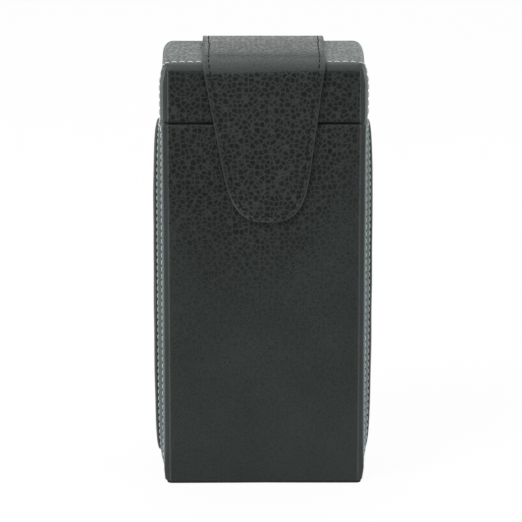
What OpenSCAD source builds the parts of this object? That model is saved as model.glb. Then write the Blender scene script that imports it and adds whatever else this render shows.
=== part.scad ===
// Upright travel case for watches: a leather-covered box with a hinged lid,
// closed by a magnetic strap that folds over the lid and down the front.
// Millimetres, +Z up, front towards -Y, origin at the centre of the base.

/* [Body] */
// Width of the body over its upright edges
body_w = 87; // [80:1:110]
// Depth of the case over the front and back leathers
case_d = 74; // [68:1:90]
// Height of the body, from the base to the rim; a taller insert raises it
body_h = 157.8; // [130:0.1:200]
// Radius of the body's upright edges
body_edge_r = 3; // [2.6:0.1:4]
// Width of the rounding at the body's two lower corners, seen from the front
foot_w = 3.2; // [2.6:0.1:5]
// Height of that rounding
foot_h = 7; // [2.6:0.1:12]

/* [Lid] */
// Width of the lid
lid_w = 88; // [81:1:111]
// Height of the lid, from its lower edge to its top
lid_h = 25.2; // [22:0.1:40]
// Open gap between the rim of the body and the lid
seam_gap = 1; // [0.8:0.1:2]
// Width of the rounding along the lid's upright edges, seen from the front
lid_edge_w = 2.7; // [2.6:0.1:5]
// Depth of that rounding, from the front towards the back
lid_edge_d = 8; // [3:0.5:12]
// Radius of the lid's upper edges
lid_top_r = 4; // [3.4:0.1:6]

/* [Materials] */
// Thickness of the covering leather
leather_t = 0.9; // [0.6:0.1:1.2]
// Thickness of the card walls
board_t = 2.2; // [1.8:0.1:3]
// Thickness of the suede-covered lining card in the body
lining_t = 1.4; // [1:0.1:2]
// Thickness of the suede inside the lid
lid_lining_t = 0.5; // [0.3:0.1:0.8]
// Width of the plain leather panels on the front and the back
panel_w = 82.4; // [74:0.2:104]

/* [Side pads] */
// How far the padded sides stand out of the body
side_bulge = 4.5; // [2:0.1:7]
// Roundness of the pads' outline, 2 is an ellipse and more is squarer
side_power = 3.2; // [2:0.1:5]
// Width of the flat border between a pad and the front
side_border = 3.4; // [3:0.1:8]
// Space between a pad's foam and the leather turned in above and below it
side_margin = 0.1; // [0.1:0.1:6]

/* [Collar] */
// Thickness of the collar
collar_t = 1.4; // [1:0.1:2]
// How far the collar stands above the rim
collar_rise = 6; // [4:0.5:6]
// Depth of the collar below the rim
collar_root = 14; // [8:1:25]
// Radius of the fall at the rear ends of the collar
collar_fall_r = 5; // [3:0.5:6]
// Distance from the collar's rear ends to the lining at the back
collar_back_gap = 8; // [5:0.5:20]

/* [Strap] */
// Width of the strap at the back edge of the lid
strap_back_w = 53.6; // [40:0.2:60]
// Width of the strap where it folds over the front edge
strap_front_w = 52; // [40:0.2:60]
// Thickness of the strap's outer leather
strap_t = 0.9; // [0.7:0.1:1.2]
// Thickness of the strap's backing
backing_t = 0.9; // [0.6:0.1:1.2]
// Height of the strap's sewn end above the lid's lower edge
strap_end = 5.4; // [5:0.2:12]
// Length of the tongue below the top of the lid
tongue_l = 68.2; // [55:0.2:80]
// Straight length of the tongue before its end rounds off
tongue_straight = 44; // [30:1:50]
// How much each edge of the tongue draws in, per millimetre of length
tongue_taper = 0.16; // [0.05:0.01:0.2]
// Roundness of the tongue's end, 2 is an ellipse and more is squarer
tongue_power = 3.1; // [2:0.1:5]
// How far the tongue lies askew, in degrees
tongue_skew = 1.6; // [0:0.1:3]
// Clearance between the tongue and the front of the case
tongue_gap = 0.3; // [0.2:0.1:1]

/* [Magnetic catch] */
// Diameter of the magnet in the tongue
magnet_d = 14; // [8:1:18]
// Thickness of the magnet
magnet_t = 1; // [0.6:0.1:1.2]
// Depth of the magnet's centre below the top of the lid
magnet_drop = 50; // [40:1:58]
// Diameter of the steel plate in the front wall
plate_d = 18; // [10:1:24]
// Thickness of the steel plate
plate_t = 0.6; // [0.4:0.1:1]

/* [Insert] */
// Thickness of the insert's floor and spine
insert_t = 2.5; // [2:0.1:4]
// Clearance between the insert and what it slides past
insert_gap = 0.5; // [0.3:0.1:1]
// Width of the spine
spine_w = 52; // [30:1:64]
// Thickness of the dividers
divider_t = 2; // [1.5:0.1:3]
// Free way left round a divider
divider_way = 4.8; // [4.5:0.1:8]
// Radius of the dividers' corners
divider_r = 12; // [4:1:20]
// Length of a watch cushion
cushion_l = 50; // [36:0.5:60]
// Width of a watch cushion, across the case
cushion_w = 62; // [50:1:66]
// Depth of a watch cushion, front to back
cushion_d = 41; // [30:1:44]
// Space behind a cushion for a watch strap
strap_way = 5.5; // [4.5:0.1:8]
// Width of the ribbon that lifts the insert out
ribbon_w = 14; // [8:1:25]
// Thickness of the ribbon
ribbon_t = 0.5; // [0.4:0.1:1]
// Height of the ribbon loop above the spine
ribbon_rise = 7; // [4:0.5:9]
// Least space between the ribbon loop and the lid's pad
ribbon_gap = 2; // [1:0.5:6]

/* [Lid pad] */
// Thickness of the foam pad in the lid
lid_pad_t = 4; // [2:0.5:5]
// Radius of the pad's corners
lid_pad_r = 6; // [2:0.5:12]
// Clearance round the pad
lid_pad_gap = 0.4; // [0.3:0.1:1]

/* [Hidden] */
$fn = 64;
eps = 0.01;

// Walls
wall_t = leather_t + board_t;
body_floor_z = wall_t;
lining_floor_z = body_floor_z + lining_t;
front_y = -case_d / 2;
back_y = case_d / 2;

// The insert's stack: a floor, then three cushions with a divider between each two.
cushion_count = 3;
insert_floor_top = lining_floor_z + insert_t;
cushion_pitch = cushion_l + divider_t;
stack_top = insert_floor_top + cushion_count * cushion_l + (cushion_count - 1) * divider_t;

// Levels: the lid's pad has to clear the ribbon loop on top of the stack.
lid_clear = seam_gap + lid_h - wall_t - lid_lining_t - lid_pad_t;
rim_z = max(body_h, stack_top + ribbon_rise + ribbon_gap - lid_clear);
lid_z = rim_z + seam_gap;
top_z = lid_z + lid_h;
lid_ceiling_z = top_z - wall_t;

// Lid hinge: the back leather bends level with the middle of the seam.
hinge_z = rim_z + seam_gap / 2;
hinge_strip_h = 4;
hinge_backing_t = 0.5;

// Strap and tongue: one leather, parted where it bends just under the lid's front edge. The
// tongue turns about the middle of its thickness.
flap_t = strap_t + backing_t;
fold_z = top_z - lid_top_r;
strap_turn_down = 0.7;
fold_bare_h = 2.3;
pivot_rise = 0.3;
strap_front_z = fold_z - strap_turn_down;
flap_top_z = strap_front_z - fold_bare_h;
flap_pivot_z = flap_top_z + pivot_rise;

// Inside of the body and of the lid
body_in_w = body_w - 2 * (wall_t + lining_t);
case_in_d = case_d - 2 * (wall_t + lining_t);
lid_in_w = lid_w - 2 * (wall_t + lid_lining_t);
lid_in_d = case_d - 2 * (wall_t + lid_lining_t);
collar_in_w = body_in_w - 2 * collar_t;
collar_front_y = -case_in_d / 2 + collar_t;

// Insert
insert_w = collar_in_w - 2 * insert_gap;
insert_front_y = collar_front_y + insert_gap;
insert_back_y = case_in_d / 2 - insert_gap;
insert_y = (insert_front_y + insert_back_y) / 2;
insert_d = insert_back_y - insert_front_y;
insert_r = 2;
spine_front_y = insert_back_y - insert_t;
cushion_y = spine_front_y - strap_way - cushion_d / 2;
cushion_flat = 2;
divider_w = collar_in_w - 2 * divider_way;
divider_front_y = collar_front_y + divider_way;
divider_d = spine_front_y - divider_front_y;

// ---------------------------------------------------------------- outlines

// Rectangle with its middle at the origin and round corners.
module round_rect(w, d, r) {
  union() {
    square([w - 2 * r, d], center = true);
    square([w, d - 2 * r], center = true);
    for (sx = [-1, 1]) for (sy = [-1, 1])
      translate([sx * (w / 2 - r), sy * (d / 2 - r)]) circle(r);
  }
}

// Rectangle with its middle at the origin; each corner is a quarter ellipse rx wide and ry deep.
module oval_rect(w, d, rx, ry) {
  steps = 12;
  quarter = [for (i = [0:steps]) [rx * (1 - cos(90 * i / steps)), ry * (1 - sin(90 * i / steps))]];
  corner = [for (p = quarter) [w / 2 - p[0], d / 2 - p[1]]];
  back = [for (i = [steps:-1:0]) corner[i]];
  polygon(concat(
    corner,
    [for (p = back) [-p[0], p[1]]],
    [for (p = corner) [-p[0], -p[1]]],
    [for (p = back) [p[0], -p[1]]]
  ));
}

// Upright plate in the XZ plane, drawn as an outline in x and z and spread along y.
module along_y(d) { rotate([90, 0, 0]) linear_extrude(height = d, center = true) children(); }

// Plate in the YZ plane, drawn as an outline in y and z and spread along x.
module along_x(w) { rotate([90, 0, 90]) linear_extrude(height = w, center = true) children(); }

// Superellipse bump: 1 in the middle, 0 at both ends, for u from -1 to 1.
function bump(u, power) = pow(max(0, 1 - pow(abs(u), power)), 1 / power);

// ---------------------------------------------------------------- body forms

// The body's outer form, shrunk by inset on every side, from z0 up to z1.
module body_form(inset, z0, z1) {
  r = body_edge_r - inset;
  w = body_w - 2 * inset;
  intersection() {
    translate([0, 0, z0]) linear_extrude(height = z1 - z0) round_rect(w, case_d - 2 * inset, r);
    translate([0, 0, rim_z]) along_y(case_d)
      oval_rect(w, 2 * (rim_z - inset), foot_w - inset, foot_h - inset);
  }
}

// The space inside the card walls, with square corners.
module body_hollow() {
  w = body_w - 2 * wall_t;
  d = case_d - 2 * wall_t;
  translate([-w / 2, -d / 2, body_floor_z]) cube([w, d, rim_z]);
}

// Everything that the leather makes: the skin of the walls, the rim and the base.
module body_cover() {
  difference() {
    body_form(0, 0, rim_z);
    body_form(leather_t, leather_t, rim_z - leather_t);
    body_hollow();
  }
}

// Slab that holds the leather panel of the front wall (side -1) or the back wall (side 1).
module panel_zone(side, z0, z1) {
  y0 = side < 0 ? front_y : back_y - wall_t;
  translate([-panel_w / 2, y0, z0]) cube([panel_w, wall_t, z1 - z0]);
}

// Outline of a side pad in x and z, standing out from the upright plane x = 0.
module pad_outline(grow) {
  h = rim_z - 2 * (leather_t + side_margin);
  steps = 22;
  polygon([for (i = [0:steps]) let (u = -cos(180 * i / steps))
    [(side_bulge + grow) * bump(u, side_power), rim_z / 2 + u * (h / 2 + grow)]]);
}

// Plan of a side pad in x and y.
module pad_plan(grow) {
  d = case_d - 2 * side_border;
  steps = 20;
  polygon([for (i = [0:steps]) let (u = -cos(180 * i / steps))
    [(side_bulge + grow) * bump(u, side_power), u * (d / 2 + grow)]]);
}

// The foam of the right-hand side pad; grow is the leather laid over it.
module pad_form(grow) {
  translate([body_w / 2 - leather_t, 0, 0]) intersection() {
    along_y(case_d) pad_outline(grow);
    linear_extrude(height = rim_z) pad_plan(grow);
  }
}

// ---------------------------------------------------------------- body nodes

module body_shell() {
  color("tan") difference() {
    body_form(leather_t, leather_t, rim_z - leather_t);
    body_hollow();
    catch_seat();
  }
}

module front_leather() {
  color("#3a3d3c") intersection() {
    body_cover();
    panel_zone(-1, leather_t, rim_z);
  }
}

module back_leather() {
  color("#3a3d3c") difference() {
    intersection() {
      body_cover();
      panel_zone(1, leather_t, rim_z);
    }
    hinge_zone();
  }
}

// Side leather: the skin outside the panels, with the pad's own leather over its foam.
module side_leather(side) {
  color("#333635") mirror([side < 0 ? 1 : 0, 0, 0]) difference() {
    union() {
      intersection() {
        difference() {
          body_cover();
          panel_zone(-1, 0, rim_z + eps);
          panel_zone(1, 0, rim_z + eps);
        }
        translate([0, -case_d, leather_t]) cube([body_w, 2 * case_d, rim_z]);
      }
      difference() {
        pad_form(leather_t);
        body_form(0, 0, leather_t);
      }
    }
    pad_form(0);
    translate([0, -case_d, 0]) cube([body_w / 2 - leather_t, 2 * case_d, rim_z - leather_t]);
  }
}

module side_foam(side) {
  color("khaki") mirror([side < 0 ? 1 : 0, 0, 0]) pad_form(0);
}

module base_leather() {
  color("#2b2d2c") intersection() {
    body_cover();
    translate([-body_w, -case_d, 0]) cube([2 * body_w, 2 * case_d, leather_t]);
  }
}

// Height of back leather that is left bare of card, so that it can bend.
module hinge_zone() {
  translate([-panel_w / 2, 0, hinge_z - hinge_strip_h / 2])
    cube([panel_w, case_d, hinge_strip_h]);
}

module hinge_leather() {
  color("#303332") translate([-panel_w / 2, back_y - leather_t, hinge_z - hinge_strip_h / 2])
    cube([panel_w, leather_t, hinge_strip_h]);
}

// Cloth strip behind the bending leather, between the card edges of body and lid.
module hinge_backing() {
  z0 = rim_z - leather_t;
  color("#4a4540")
    translate([-panel_w / 2, back_y - leather_t - hinge_backing_t, z0])
    cube([panel_w, hinge_backing_t, seam_gap + 2 * leather_t]);
}

// Place of the steel plate, flush with the outside of the front card.
module catch_seat() {
  translate([0, front_y + leather_t + plate_t / 2, top_z - magnet_drop]) rotate([90, 0, 0])
    cylinder(d = plate_d, h = plate_t, center = true);
}

module catch_plate() { color("silver") catch_seat(); }

module body_lining() {
  w = body_w - 2 * wall_t;
  d = case_d - 2 * wall_t;
  color("#8a7f70") difference() {
    translate([-w / 2, -d / 2, body_floor_z]) cube([w, d, rim_z - body_floor_z]);
    translate([-body_in_w / 2, -case_in_d / 2, lining_floor_z])
      cube([body_in_w, case_in_d, rim_z]);
  }
}

// Side view of the collar's arms: level along the top, falling in a round at the rear.
module collar_profile() {
  z1 = rim_z + collar_rise;
  rear = case_in_d / 2 - collar_back_gap;
  difference() {
    translate([-case_in_d / 2, rim_z - collar_root])
      square([rear + case_in_d / 2, collar_root + collar_rise]);
    translate([rear - collar_fall_r, z1 - collar_fall_r]) difference() {
      square(collar_fall_r + eps);
      circle(collar_fall_r);
    }
  }
}

module collar() {
  color("#8a7f70") difference() {
    along_x(body_in_w) collar_profile();
    translate([-collar_in_w / 2, collar_front_y, 0])
      cube([collar_in_w, case_d, rim_z + collar_rise + 1]);
  }
}

// ---------------------------------------------------------------- insert

module insert_floor() {
  color("#8a7f70") translate([0, insert_y, lining_floor_z])
    linear_extrude(height = insert_t) round_rect(insert_w, insert_d, insert_r);
}

module insert_spine() {
  color("#8a7f70") translate([-spine_w / 2, spine_front_y, insert_floor_top])
    cube([spine_w, insert_t, stack_top - insert_floor_top]);
}

module divider(level) {
  color("#7d7365") intersection() {
    translate([0, divider_front_y + divider_d, insert_floor_top + level * cushion_pitch - divider_t])
      linear_extrude(height = divider_t) round_rect(divider_w, 2 * divider_d, divider_r);
    translate([-divider_w / 2, divider_front_y, 0]) cube([divider_w, divider_d, rim_z]);
  }
}

module watch_cushion(level) {
  end_r = (cushion_d - cushion_flat) / 2;
  color("#6f675c") translate([0, cushion_y, insert_floor_top + level * cushion_pitch])
    linear_extrude(height = cushion_l) round_rect(cushion_w, cushion_d, end_r);
}

// Ribbon loop behind the spine's top: two runs joined by a half round.
module pull_tab() {
  mid_y = spine_front_y + insert_t / 2;
  out_r = insert_t / 2;
  z0 = stack_top;
  z1 = stack_top + ribbon_rise - out_r;
  color("#4a4540") along_x(ribbon_w) translate([mid_y, 0]) difference() {
    union() {
      translate([-out_r, z0]) square([2 * out_r, z1 - z0]);
      translate([0, z1]) circle(out_r);
    }
    translate([-out_r + ribbon_t, z0 - eps]) square([2 * (out_r - ribbon_t), z1 - z0 + eps]);
    translate([0, z1]) circle(out_r - ribbon_t);
  }
}

// ---------------------------------------------------------------- lid forms

// Side view of the lid in y and z; grow lays leather or a strap over it.
module lid_side(grow) {
  translate([0, lid_z]) difference() {
    round_rect(case_d + 2 * grow, 2 * (lid_h + grow), lid_top_r + grow);
    translate([-case_d, -2 * lid_h]) square([2 * case_d, 2 * lid_h]);
  }
}

// The lid's outer form, shrunk by inset on every side but the open one, from z0 up.
module lid_form(inset, z0) {
  w = lid_w - 2 * inset;
  intersection() {
    translate([0, 0, z0]) linear_extrude(height = top_z - inset - z0)
      oval_rect(w, case_d - 2 * inset, lid_edge_w - inset, lid_edge_d - inset);
    translate([0, 0, lid_z]) along_y(case_d) round_rect(w, 2 * (lid_h - inset), lid_top_r - inset);
    along_x(w) lid_side(-inset);
  }
}

// The space inside the lid's card walls.
module lid_hollow() {
  w = lid_w - 2 * wall_t;
  d = case_d - 2 * wall_t;
  translate([-w / 2, -d / 2, lid_z - 1]) cube([w, d, lid_ceiling_z - lid_z + 1]);
}

module lid_cover() {
  difference() {
    lid_form(0, lid_z);
    lid_form(leather_t, lid_z + leather_t);
    lid_hollow();
  }
}

// ---------------------------------------------------------------- lid nodes

module lid_shell() {
  color("tan") difference() {
    lid_form(leather_t, lid_z + leather_t);
    lid_hollow();
  }
}

module lid_front_leather() {
  color("#3a3d3c") intersection() {
    lid_cover();
    panel_zone(-1, lid_z, fold_z);
  }
}

module lid_back_leather() {
  color("#3a3d3c") difference() {
    intersection() {
      lid_cover();
      panel_zone(1, lid_z, fold_z);
    }
    hinge_zone();
  }
}

module lid_wrap_leather() {
  color("#464a48") difference() {
    lid_cover();
    panel_zone(-1, lid_z - 1, fold_z);
    panel_zone(1, lid_z - 1, fold_z);
  }
}

module lid_lining() {
  w = lid_w - 2 * wall_t;
  d = case_d - 2 * wall_t;
  h = lid_ceiling_z - lid_z;
  color("#8a7f70") difference() {
    translate([-w / 2, -d / 2, lid_z]) cube([w, d, h]);
    translate([-lid_in_w / 2, -lid_in_d / 2, lid_z - 1]) cube([lid_in_w, lid_in_d, h - lid_lining_t + 1]);
  }
}

module lid_pad() {
  w = lid_in_w - 2 * lid_pad_gap;
  d = lid_in_d - 2 * lid_pad_gap;
  color("#8a7f70") translate([0, 0, lid_ceiling_z - lid_lining_t - lid_pad_t])
    linear_extrude(height = lid_pad_t) round_rect(w, d, lid_pad_r);
}

// ---------------------------------------------------------------- strap and flap

// Plan of the strap: a little narrower at the front fold than at the back.
module strap_plan() {
  y0 = front_y - flap_t;
  y1 = back_y + flap_t;
  polygon([
    [-strap_front_w / 2, y0], [strap_front_w / 2, y0],
    [strap_back_w / 2, y1], [-strap_back_w / 2, y1]
  ]);
}

// One layer of the strap, between two distances from the lid's surface.
module strap_layer(inner, outer) {
  intersection() {
    along_x(strap_back_w) difference() {
      lid_side(outer);
      lid_side(inner);
      translate([-case_d, 0]) square([case_d, strap_front_z]);
      translate([0, 0]) square([case_d, lid_z + strap_end]);
    }
    linear_extrude(height = top_z + flap_t + 1) strap_plan();
  }
}

module strap_leather() { color("#464a48") strap_layer(backing_t, flap_t); }

module strap_backing() { color("#1f2120") strap_layer(0, backing_t); }

// Half the width of the tongue at a distance s below the top of the lid.
function tongue_half(s) =
  let (u = max(0, (s - tongue_straight) / (tongue_l - tongue_straight)))
  (strap_front_w / 2 - tongue_taper * s) * bump(u, tongue_power);

// Front view of the tongue in x and z, rounded off at its end.
module tongue_outline() {
  s0 = top_z - flap_top_z;
  steps = 22;
  round_s = [for (i = [0:steps])
    tongue_straight + (tongue_l - tongue_straight) * sin(90 * i / steps)];
  down = concat([s0], round_s);
  right = [for (s = down) [tongue_half(s), top_z - s]];
  left = [for (i = [len(down) - 2:-1:0]) [-tongue_half(down[i]), top_z - down[i]]];
  polygon(concat(right, left));
}

// One layer of the tongue between two distances from the front of the case.
module tongue_layer(inner, outer) {
  y = front_y - tongue_gap - (inner + outer) / 2;
  translate([0, y, 0]) tongue_place() along_y(outer - inner) tongue_outline();
}

// Turns the tongue askew about the middle of its fold.
module tongue_place() {
  translate([0, 0, flap_pivot_z]) rotate([0, -tongue_skew, 0]) translate([0, 0, -flap_pivot_z])
    children();
}

module magnet_seat() {
  y = front_y - tongue_gap - backing_t;
  translate([0, y, 0]) tongue_place() translate([0, 0, top_z - magnet_drop])
    rotate([90, 0, 0]) cylinder(d = magnet_d, h = magnet_t, center = true);
}

module flap_leather() {
  color("#464a48") difference() {
    tongue_layer(backing_t, flap_t);
    magnet_seat();
  }
}

module flap_backing() {
  color("#1f2120") difference() {
    tongue_layer(0, backing_t);
    magnet_seat();
  }
}

module flap_magnet() { color("silver") magnet_seat(); }

// ---------------------------------------------------------------- nodes

body_shell();
front_leather();
back_leather();
side_leather(-1);  // side_leather_left
side_leather(1);  // side_leather_right
side_foam(-1);  // side_foam_left
side_foam(1);  // side_foam_right
base_leather();
hinge_leather();
hinge_backing();
catch_plate();
body_lining();
collar();
insert_floor();
insert_spine();
divider(1);  // divider_lower
divider(2);  // divider_upper
pull_tab();
watch_cushion(0);  // watch_cushion_lower
watch_cushion(1);  // watch_cushion_middle
watch_cushion(2);  // watch_cushion_upper
lid_shell();
lid_front_leather();
lid_back_leather();
lid_wrap_leather();
lid_lining();
lid_pad();
strap_leather();
strap_backing();
flap_leather();
flap_backing();
flap_magnet();
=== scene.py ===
import math

import bmesh
import bpy
import numpy as np
from mathutils import Matrix, Vector
from mathutils.bvhtree import BVHTree


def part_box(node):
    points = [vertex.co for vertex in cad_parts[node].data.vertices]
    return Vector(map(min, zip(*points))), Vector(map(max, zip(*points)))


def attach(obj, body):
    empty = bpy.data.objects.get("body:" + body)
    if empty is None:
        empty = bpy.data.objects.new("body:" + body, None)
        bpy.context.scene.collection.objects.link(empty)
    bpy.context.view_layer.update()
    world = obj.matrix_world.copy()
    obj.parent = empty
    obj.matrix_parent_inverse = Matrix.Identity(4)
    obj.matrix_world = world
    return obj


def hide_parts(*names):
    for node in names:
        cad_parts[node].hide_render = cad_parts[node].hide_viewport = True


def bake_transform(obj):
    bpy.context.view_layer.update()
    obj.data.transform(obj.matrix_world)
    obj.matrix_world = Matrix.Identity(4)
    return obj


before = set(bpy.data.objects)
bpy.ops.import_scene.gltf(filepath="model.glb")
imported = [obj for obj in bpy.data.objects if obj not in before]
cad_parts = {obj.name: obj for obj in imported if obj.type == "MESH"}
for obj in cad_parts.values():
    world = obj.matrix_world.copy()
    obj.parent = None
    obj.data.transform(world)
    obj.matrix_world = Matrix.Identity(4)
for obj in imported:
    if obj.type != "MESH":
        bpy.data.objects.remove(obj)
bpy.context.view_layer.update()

# The case's leathers, stitches, cushions and cloths are shaped here, and stand for the CAD nodes that they
# replace; the other nodes only get a finish. Lengths are in millimetres, and make_piece turns them into
# metres; places of lights and of blends are in metres already.
MM = 0.001


# ---------------------------------------------------------------- sizes from the frame

def corners(node):
    """Lowest and highest corner of a CAD node, in millimetres."""
    low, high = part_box(node)
    return np.array(low) / MM, np.array(high) / MM


shell_low, shell_high = corners("body_shell")
front_low, front_high = corners("front_leather")
wrap_low, wrap_high = corners("lid_wrap_leather")
strap_low, strap_high = corners("strap_leather")
tongue_low = corners("flap_leather")[0]
pad_low, pad_high = corners("lid_pad")

# Where the leather differs a little from the nodes it replaces: its rims meet lower down, its panels and
# the body are narrower, the lid is fuller and the lid's front panel ends higher.
PARTING_DROP = 0.35
PANEL_INSET, EDGE_INSET = 0.3, 0.05
LID_SWELL = 0.28
FOLD_RISE = 0.3

LEATHER = shell_low[1] - front_low[1]
FRONT_Y = front_low[1]
WALL_IN_Y = front_high[1]
WALL_T = WALL_IN_Y - FRONT_Y
RIM_Z = front_high[2] - PARTING_DROP
PANEL_X = front_high[0] - PANEL_INSET
EDGE_X = shell_high[0] + LEATHER - EDGE_INSET
BULGE_X = corners("side_leather_right")[1][0]
LID_X = wrap_high[0] + LID_SWELL
LID_Z = wrap_low[2] - PARTING_DROP
TOP_Z = wrap_high[2]
FOLD_Z = corners("lid_front_leather")[1][2] + FOLD_RISE
BASE_T = corners("base_leather")[1][2]

# ---------------------------------------------------------------- shaping tools

# A distance that never counts as the nearest, and how closely places are laid along edges, arcs and paths.
FAR = 99
EDGE_POINTS = 6
ARC_POINTS = 40
PATH_STEP = 0.2


def lip(distance, radius):
    """Quarter round: 0 at an edge, rising to 1 at radius from it."""
    return np.sqrt(1 - (1 - np.clip(distance / radius, 0, 1)) ** 2)


def smooth(value, low, high):
    """Soft step: 0 up to low, 1 from high, with 3t^2 - 2t^3 between them."""
    t = np.clip((value - low) / (high - low), 0, 1)
    return t * t * (3 - 2 * t)


def bump(u, power):
    """Superellipse crown: 1 in the middle, 0 at both ends, for u from -1 to 1."""
    return np.clip(1 - np.abs(u) ** power, 0, 1) ** (1 / power)


def groove(distance, depth, width):
    """Depth of a pressed line whose cross-section is a bell curve."""
    return depth * np.exp(-(distance / width) ** 2)


def ripple(a, b, period, seed):
    """Shallow unevenness from -1 to 1: the mean of five crossing sine waves with seeded directions."""
    draw = np.random.default_rng(seed)
    total = 0
    for _ in range(5):
        turn, phase, stretch = draw.uniform(0, 2 * np.pi, 2).tolist() + [draw.uniform(0.7, 1.4)]
        wave = (a * math.cos(turn) + b * math.sin(turn)) * 2 * np.pi / (period * stretch)
        total = total + np.sin(wave + phase)
    return total / 5


def stations(start, end, step, edge=0.9):
    """Places from start to end about step apart, crowding towards both ends where an edge rounds off."""
    near = edge * (1 - np.cos(np.linspace(0, np.pi / 2, EDGE_POINTS)))[:-1]
    middle = np.linspace(start + edge, end - edge, max(2, round((end - start - 2 * edge) / step) + 1))
    return np.concatenate([start + near, middle, (end - near)[::-1]])


def rounded_path(points, radii, step=2.0, bend=12.0, edge=0.9, finer=None):
    """Plane path through points with each inner corner rounded to its radius.

    Straight stretches and arcs are laid end to end; the places kept on them are at most step apart,
    turn at most bend degrees between neighbours, and crowd within edge of both ends. finer gives how many
    more places per millimetre a stretch gets, from its points.
    """
    points = np.array(points, float)
    dense = [points[:1]]
    for before, corner, after, radius in zip(points, points[1:], points[2:], radii):
        way_in = (corner - before) / np.linalg.norm(corner - before)
        way_out = (after - corner) / np.linalg.norm(after - corner)
        turn = math.acos(np.clip(way_in @ way_out, -1, 1))
        side = np.sign(way_in[0] * way_out[1] - way_in[1] * way_out[0])
        arc_start = corner - way_in * radius * math.tan(turn / 2)
        centre = arc_start + side * radius * np.array([-way_in[1], way_in[0]])
        angle = side * np.linspace(0, turn, ARC_POINTS)
        arm = arc_start - centre
        dense.append(centre + np.stack([arm[0] * np.cos(angle) - arm[1] * np.sin(angle),
                                        arm[0] * np.sin(angle) + arm[1] * np.cos(angle)], 1))
    dense.append(points[-1:])
    dense = np.concatenate(dense)
    run = np.linalg.norm(np.diff(dense, axis=0), axis=1)
    dense, run = dense[np.append(True, run > 1e-9)], run[run > 1e-9]
    length = np.append(0, np.cumsum(run))
    heading = np.unwrap(np.arctan2(np.diff(dense[:, 1]), np.diff(dense[:, 0])))
    turned = np.append(0, np.cumsum(np.abs(np.diff(heading))))
    turned = np.append(turned, turned[-1])
    even = np.union1d(np.arange(0, length[-1], PATH_STEP), length)
    need = even / step + np.interp(even, length, np.degrees(turned)) / bend
    if finer is not None:
        middle = (even[1:] + even[:-1]) / 2
        extra = finer(np.stack([np.interp(middle, length, column) for column in dense.T], 1))
        need += np.append(0, np.cumsum(extra * np.diff(even)))
    kept = np.interp(np.linspace(0, need[-1], math.ceil(need[-1]) + 1), need, even)
    near = edge * (1 - np.cos(np.linspace(0, np.pi / 2, EDGE_POINTS)))
    kept = kept[(kept > edge * 1.2) & (kept < length[-1] - edge * 1.2)]
    kept = np.concatenate([near, kept, length[-1] - near[::-1]])
    return np.stack([np.interp(kept, length, column) for column in dense.T], 1)


def spaced_along(line):
    """Length along a polyline, from 0 at its first point."""
    return np.append(0, np.cumsum(np.linalg.norm(np.diff(line, axis=0), axis=1)))


def even_line(line, step):
    """The same line with its points step apart."""
    place = spaced_along(line)
    kept = np.linspace(0, place[-1], round(place[-1] / step) + 1)
    return np.stack([np.interp(kept, place, column) for column in line.T], 1)


def quads(rows, columns):
    """Corner numbers of the quads of a grid that is numbered row by row."""
    index = np.arange(rows * columns).reshape(rows, columns)
    return np.stack([index[:-1, :-1], index[:-1, 1:], index[1:, 1:], index[1:, :-1]], -1).reshape(-1, 4)


def facing(grid):
    """Unit normals of a grid of points, from the cross product of its two directions."""
    along_rows = np.gradient(grid, axis=0)
    along_columns = np.gradient(grid, axis=1)
    normal = np.cross(along_rows, along_columns)
    return normal / np.maximum(np.linalg.norm(normal, axis=-1, keepdims=True), 1e-12)


def flat_grid(half, share, y, z):
    """Grid of points whose x is the row's half width times the column's share, with y and z as given."""
    return np.stack(np.broadcast_arrays(half[:, None] * share, y, z), -1)


def new_object(name, data):
    """Object with its data, linked to the scene."""
    piece = bpy.data.objects.new(name, data)
    bpy.context.scene.collection.objects.link(piece)
    return piece


def mesh_points(mesh):
    """Vertex places of a mesh, in millimetres."""
    points = np.empty(len(mesh.vertices) * 3)
    mesh.vertices.foreach_get("co", points)
    return points.reshape(-1, 3) / MM


SOFT_MERGE = 2e-5


def make_piece(name, points, faces, body, material, values=None, merge=1e-7):
    """Mesh object from points in millimetres and groups of faces, with doubles merged and faces outwards.

    values maps the names of vertex attributes to numbers, one for each point. Points within merge metres of
    each other become one, and SOFT_MERGE also joins the crowded points at a soft piece's corners.
    """
    mesh = bpy.data.meshes.new(name)
    mesh.from_pydata((np.asarray(points) * MM).tolist(), [], [f for group in faces for f in group.tolist()])
    for label, numbers in (values or {}).items():
        attribute = mesh.attributes.new(label, "FLOAT", "POINT")
        attribute.data.foreach_set("value", np.asarray(numbers, np.float32).ravel())
    work = bmesh.new()
    work.from_mesh(mesh)
    bmesh.ops.remove_doubles(work, verts=work.verts, dist=merge)
    bmesh.ops.dissolve_degenerate(work, edges=work.edges, dist=merge)
    bmesh.ops.recalc_face_normals(work, faces=work.faces)
    work.to_mesh(mesh)
    work.free()
    mesh.shade_smooth()
    mesh.materials.append(material)
    piece = new_object(name, mesh)
    if body:
        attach(piece, body)
    return piece


def closed_sheet(outer, inner):
    """Points and faces of a closed sheet between two grids of the same size."""
    rows, columns = outer.shape[:2]
    count = rows * columns
    top = quads(rows, columns)
    index = np.arange(count).reshape(rows, columns)
    rim = np.concatenate([index[0, :-1], index[:-1, -1], index[-1, :0:-1], index[:0:-1, 0]])
    following = np.roll(rim, -1)
    walls = np.stack([rim, rim + count, following + count, following], 1)
    points = np.concatenate([outer.reshape(-1, 3), inner.reshape(-1, 3)])
    return points, [top, top[:, ::-1] + count, walls]


# Edge wear, with a painted edge highlight, fades out over this width from a free side.
EDGE_WEAR_AND_HIGHLIGHT_WIDTH = 0.4
GRAIN_FADE, EDGE_SMOOTHNESS = 0.7, 0.9


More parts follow.
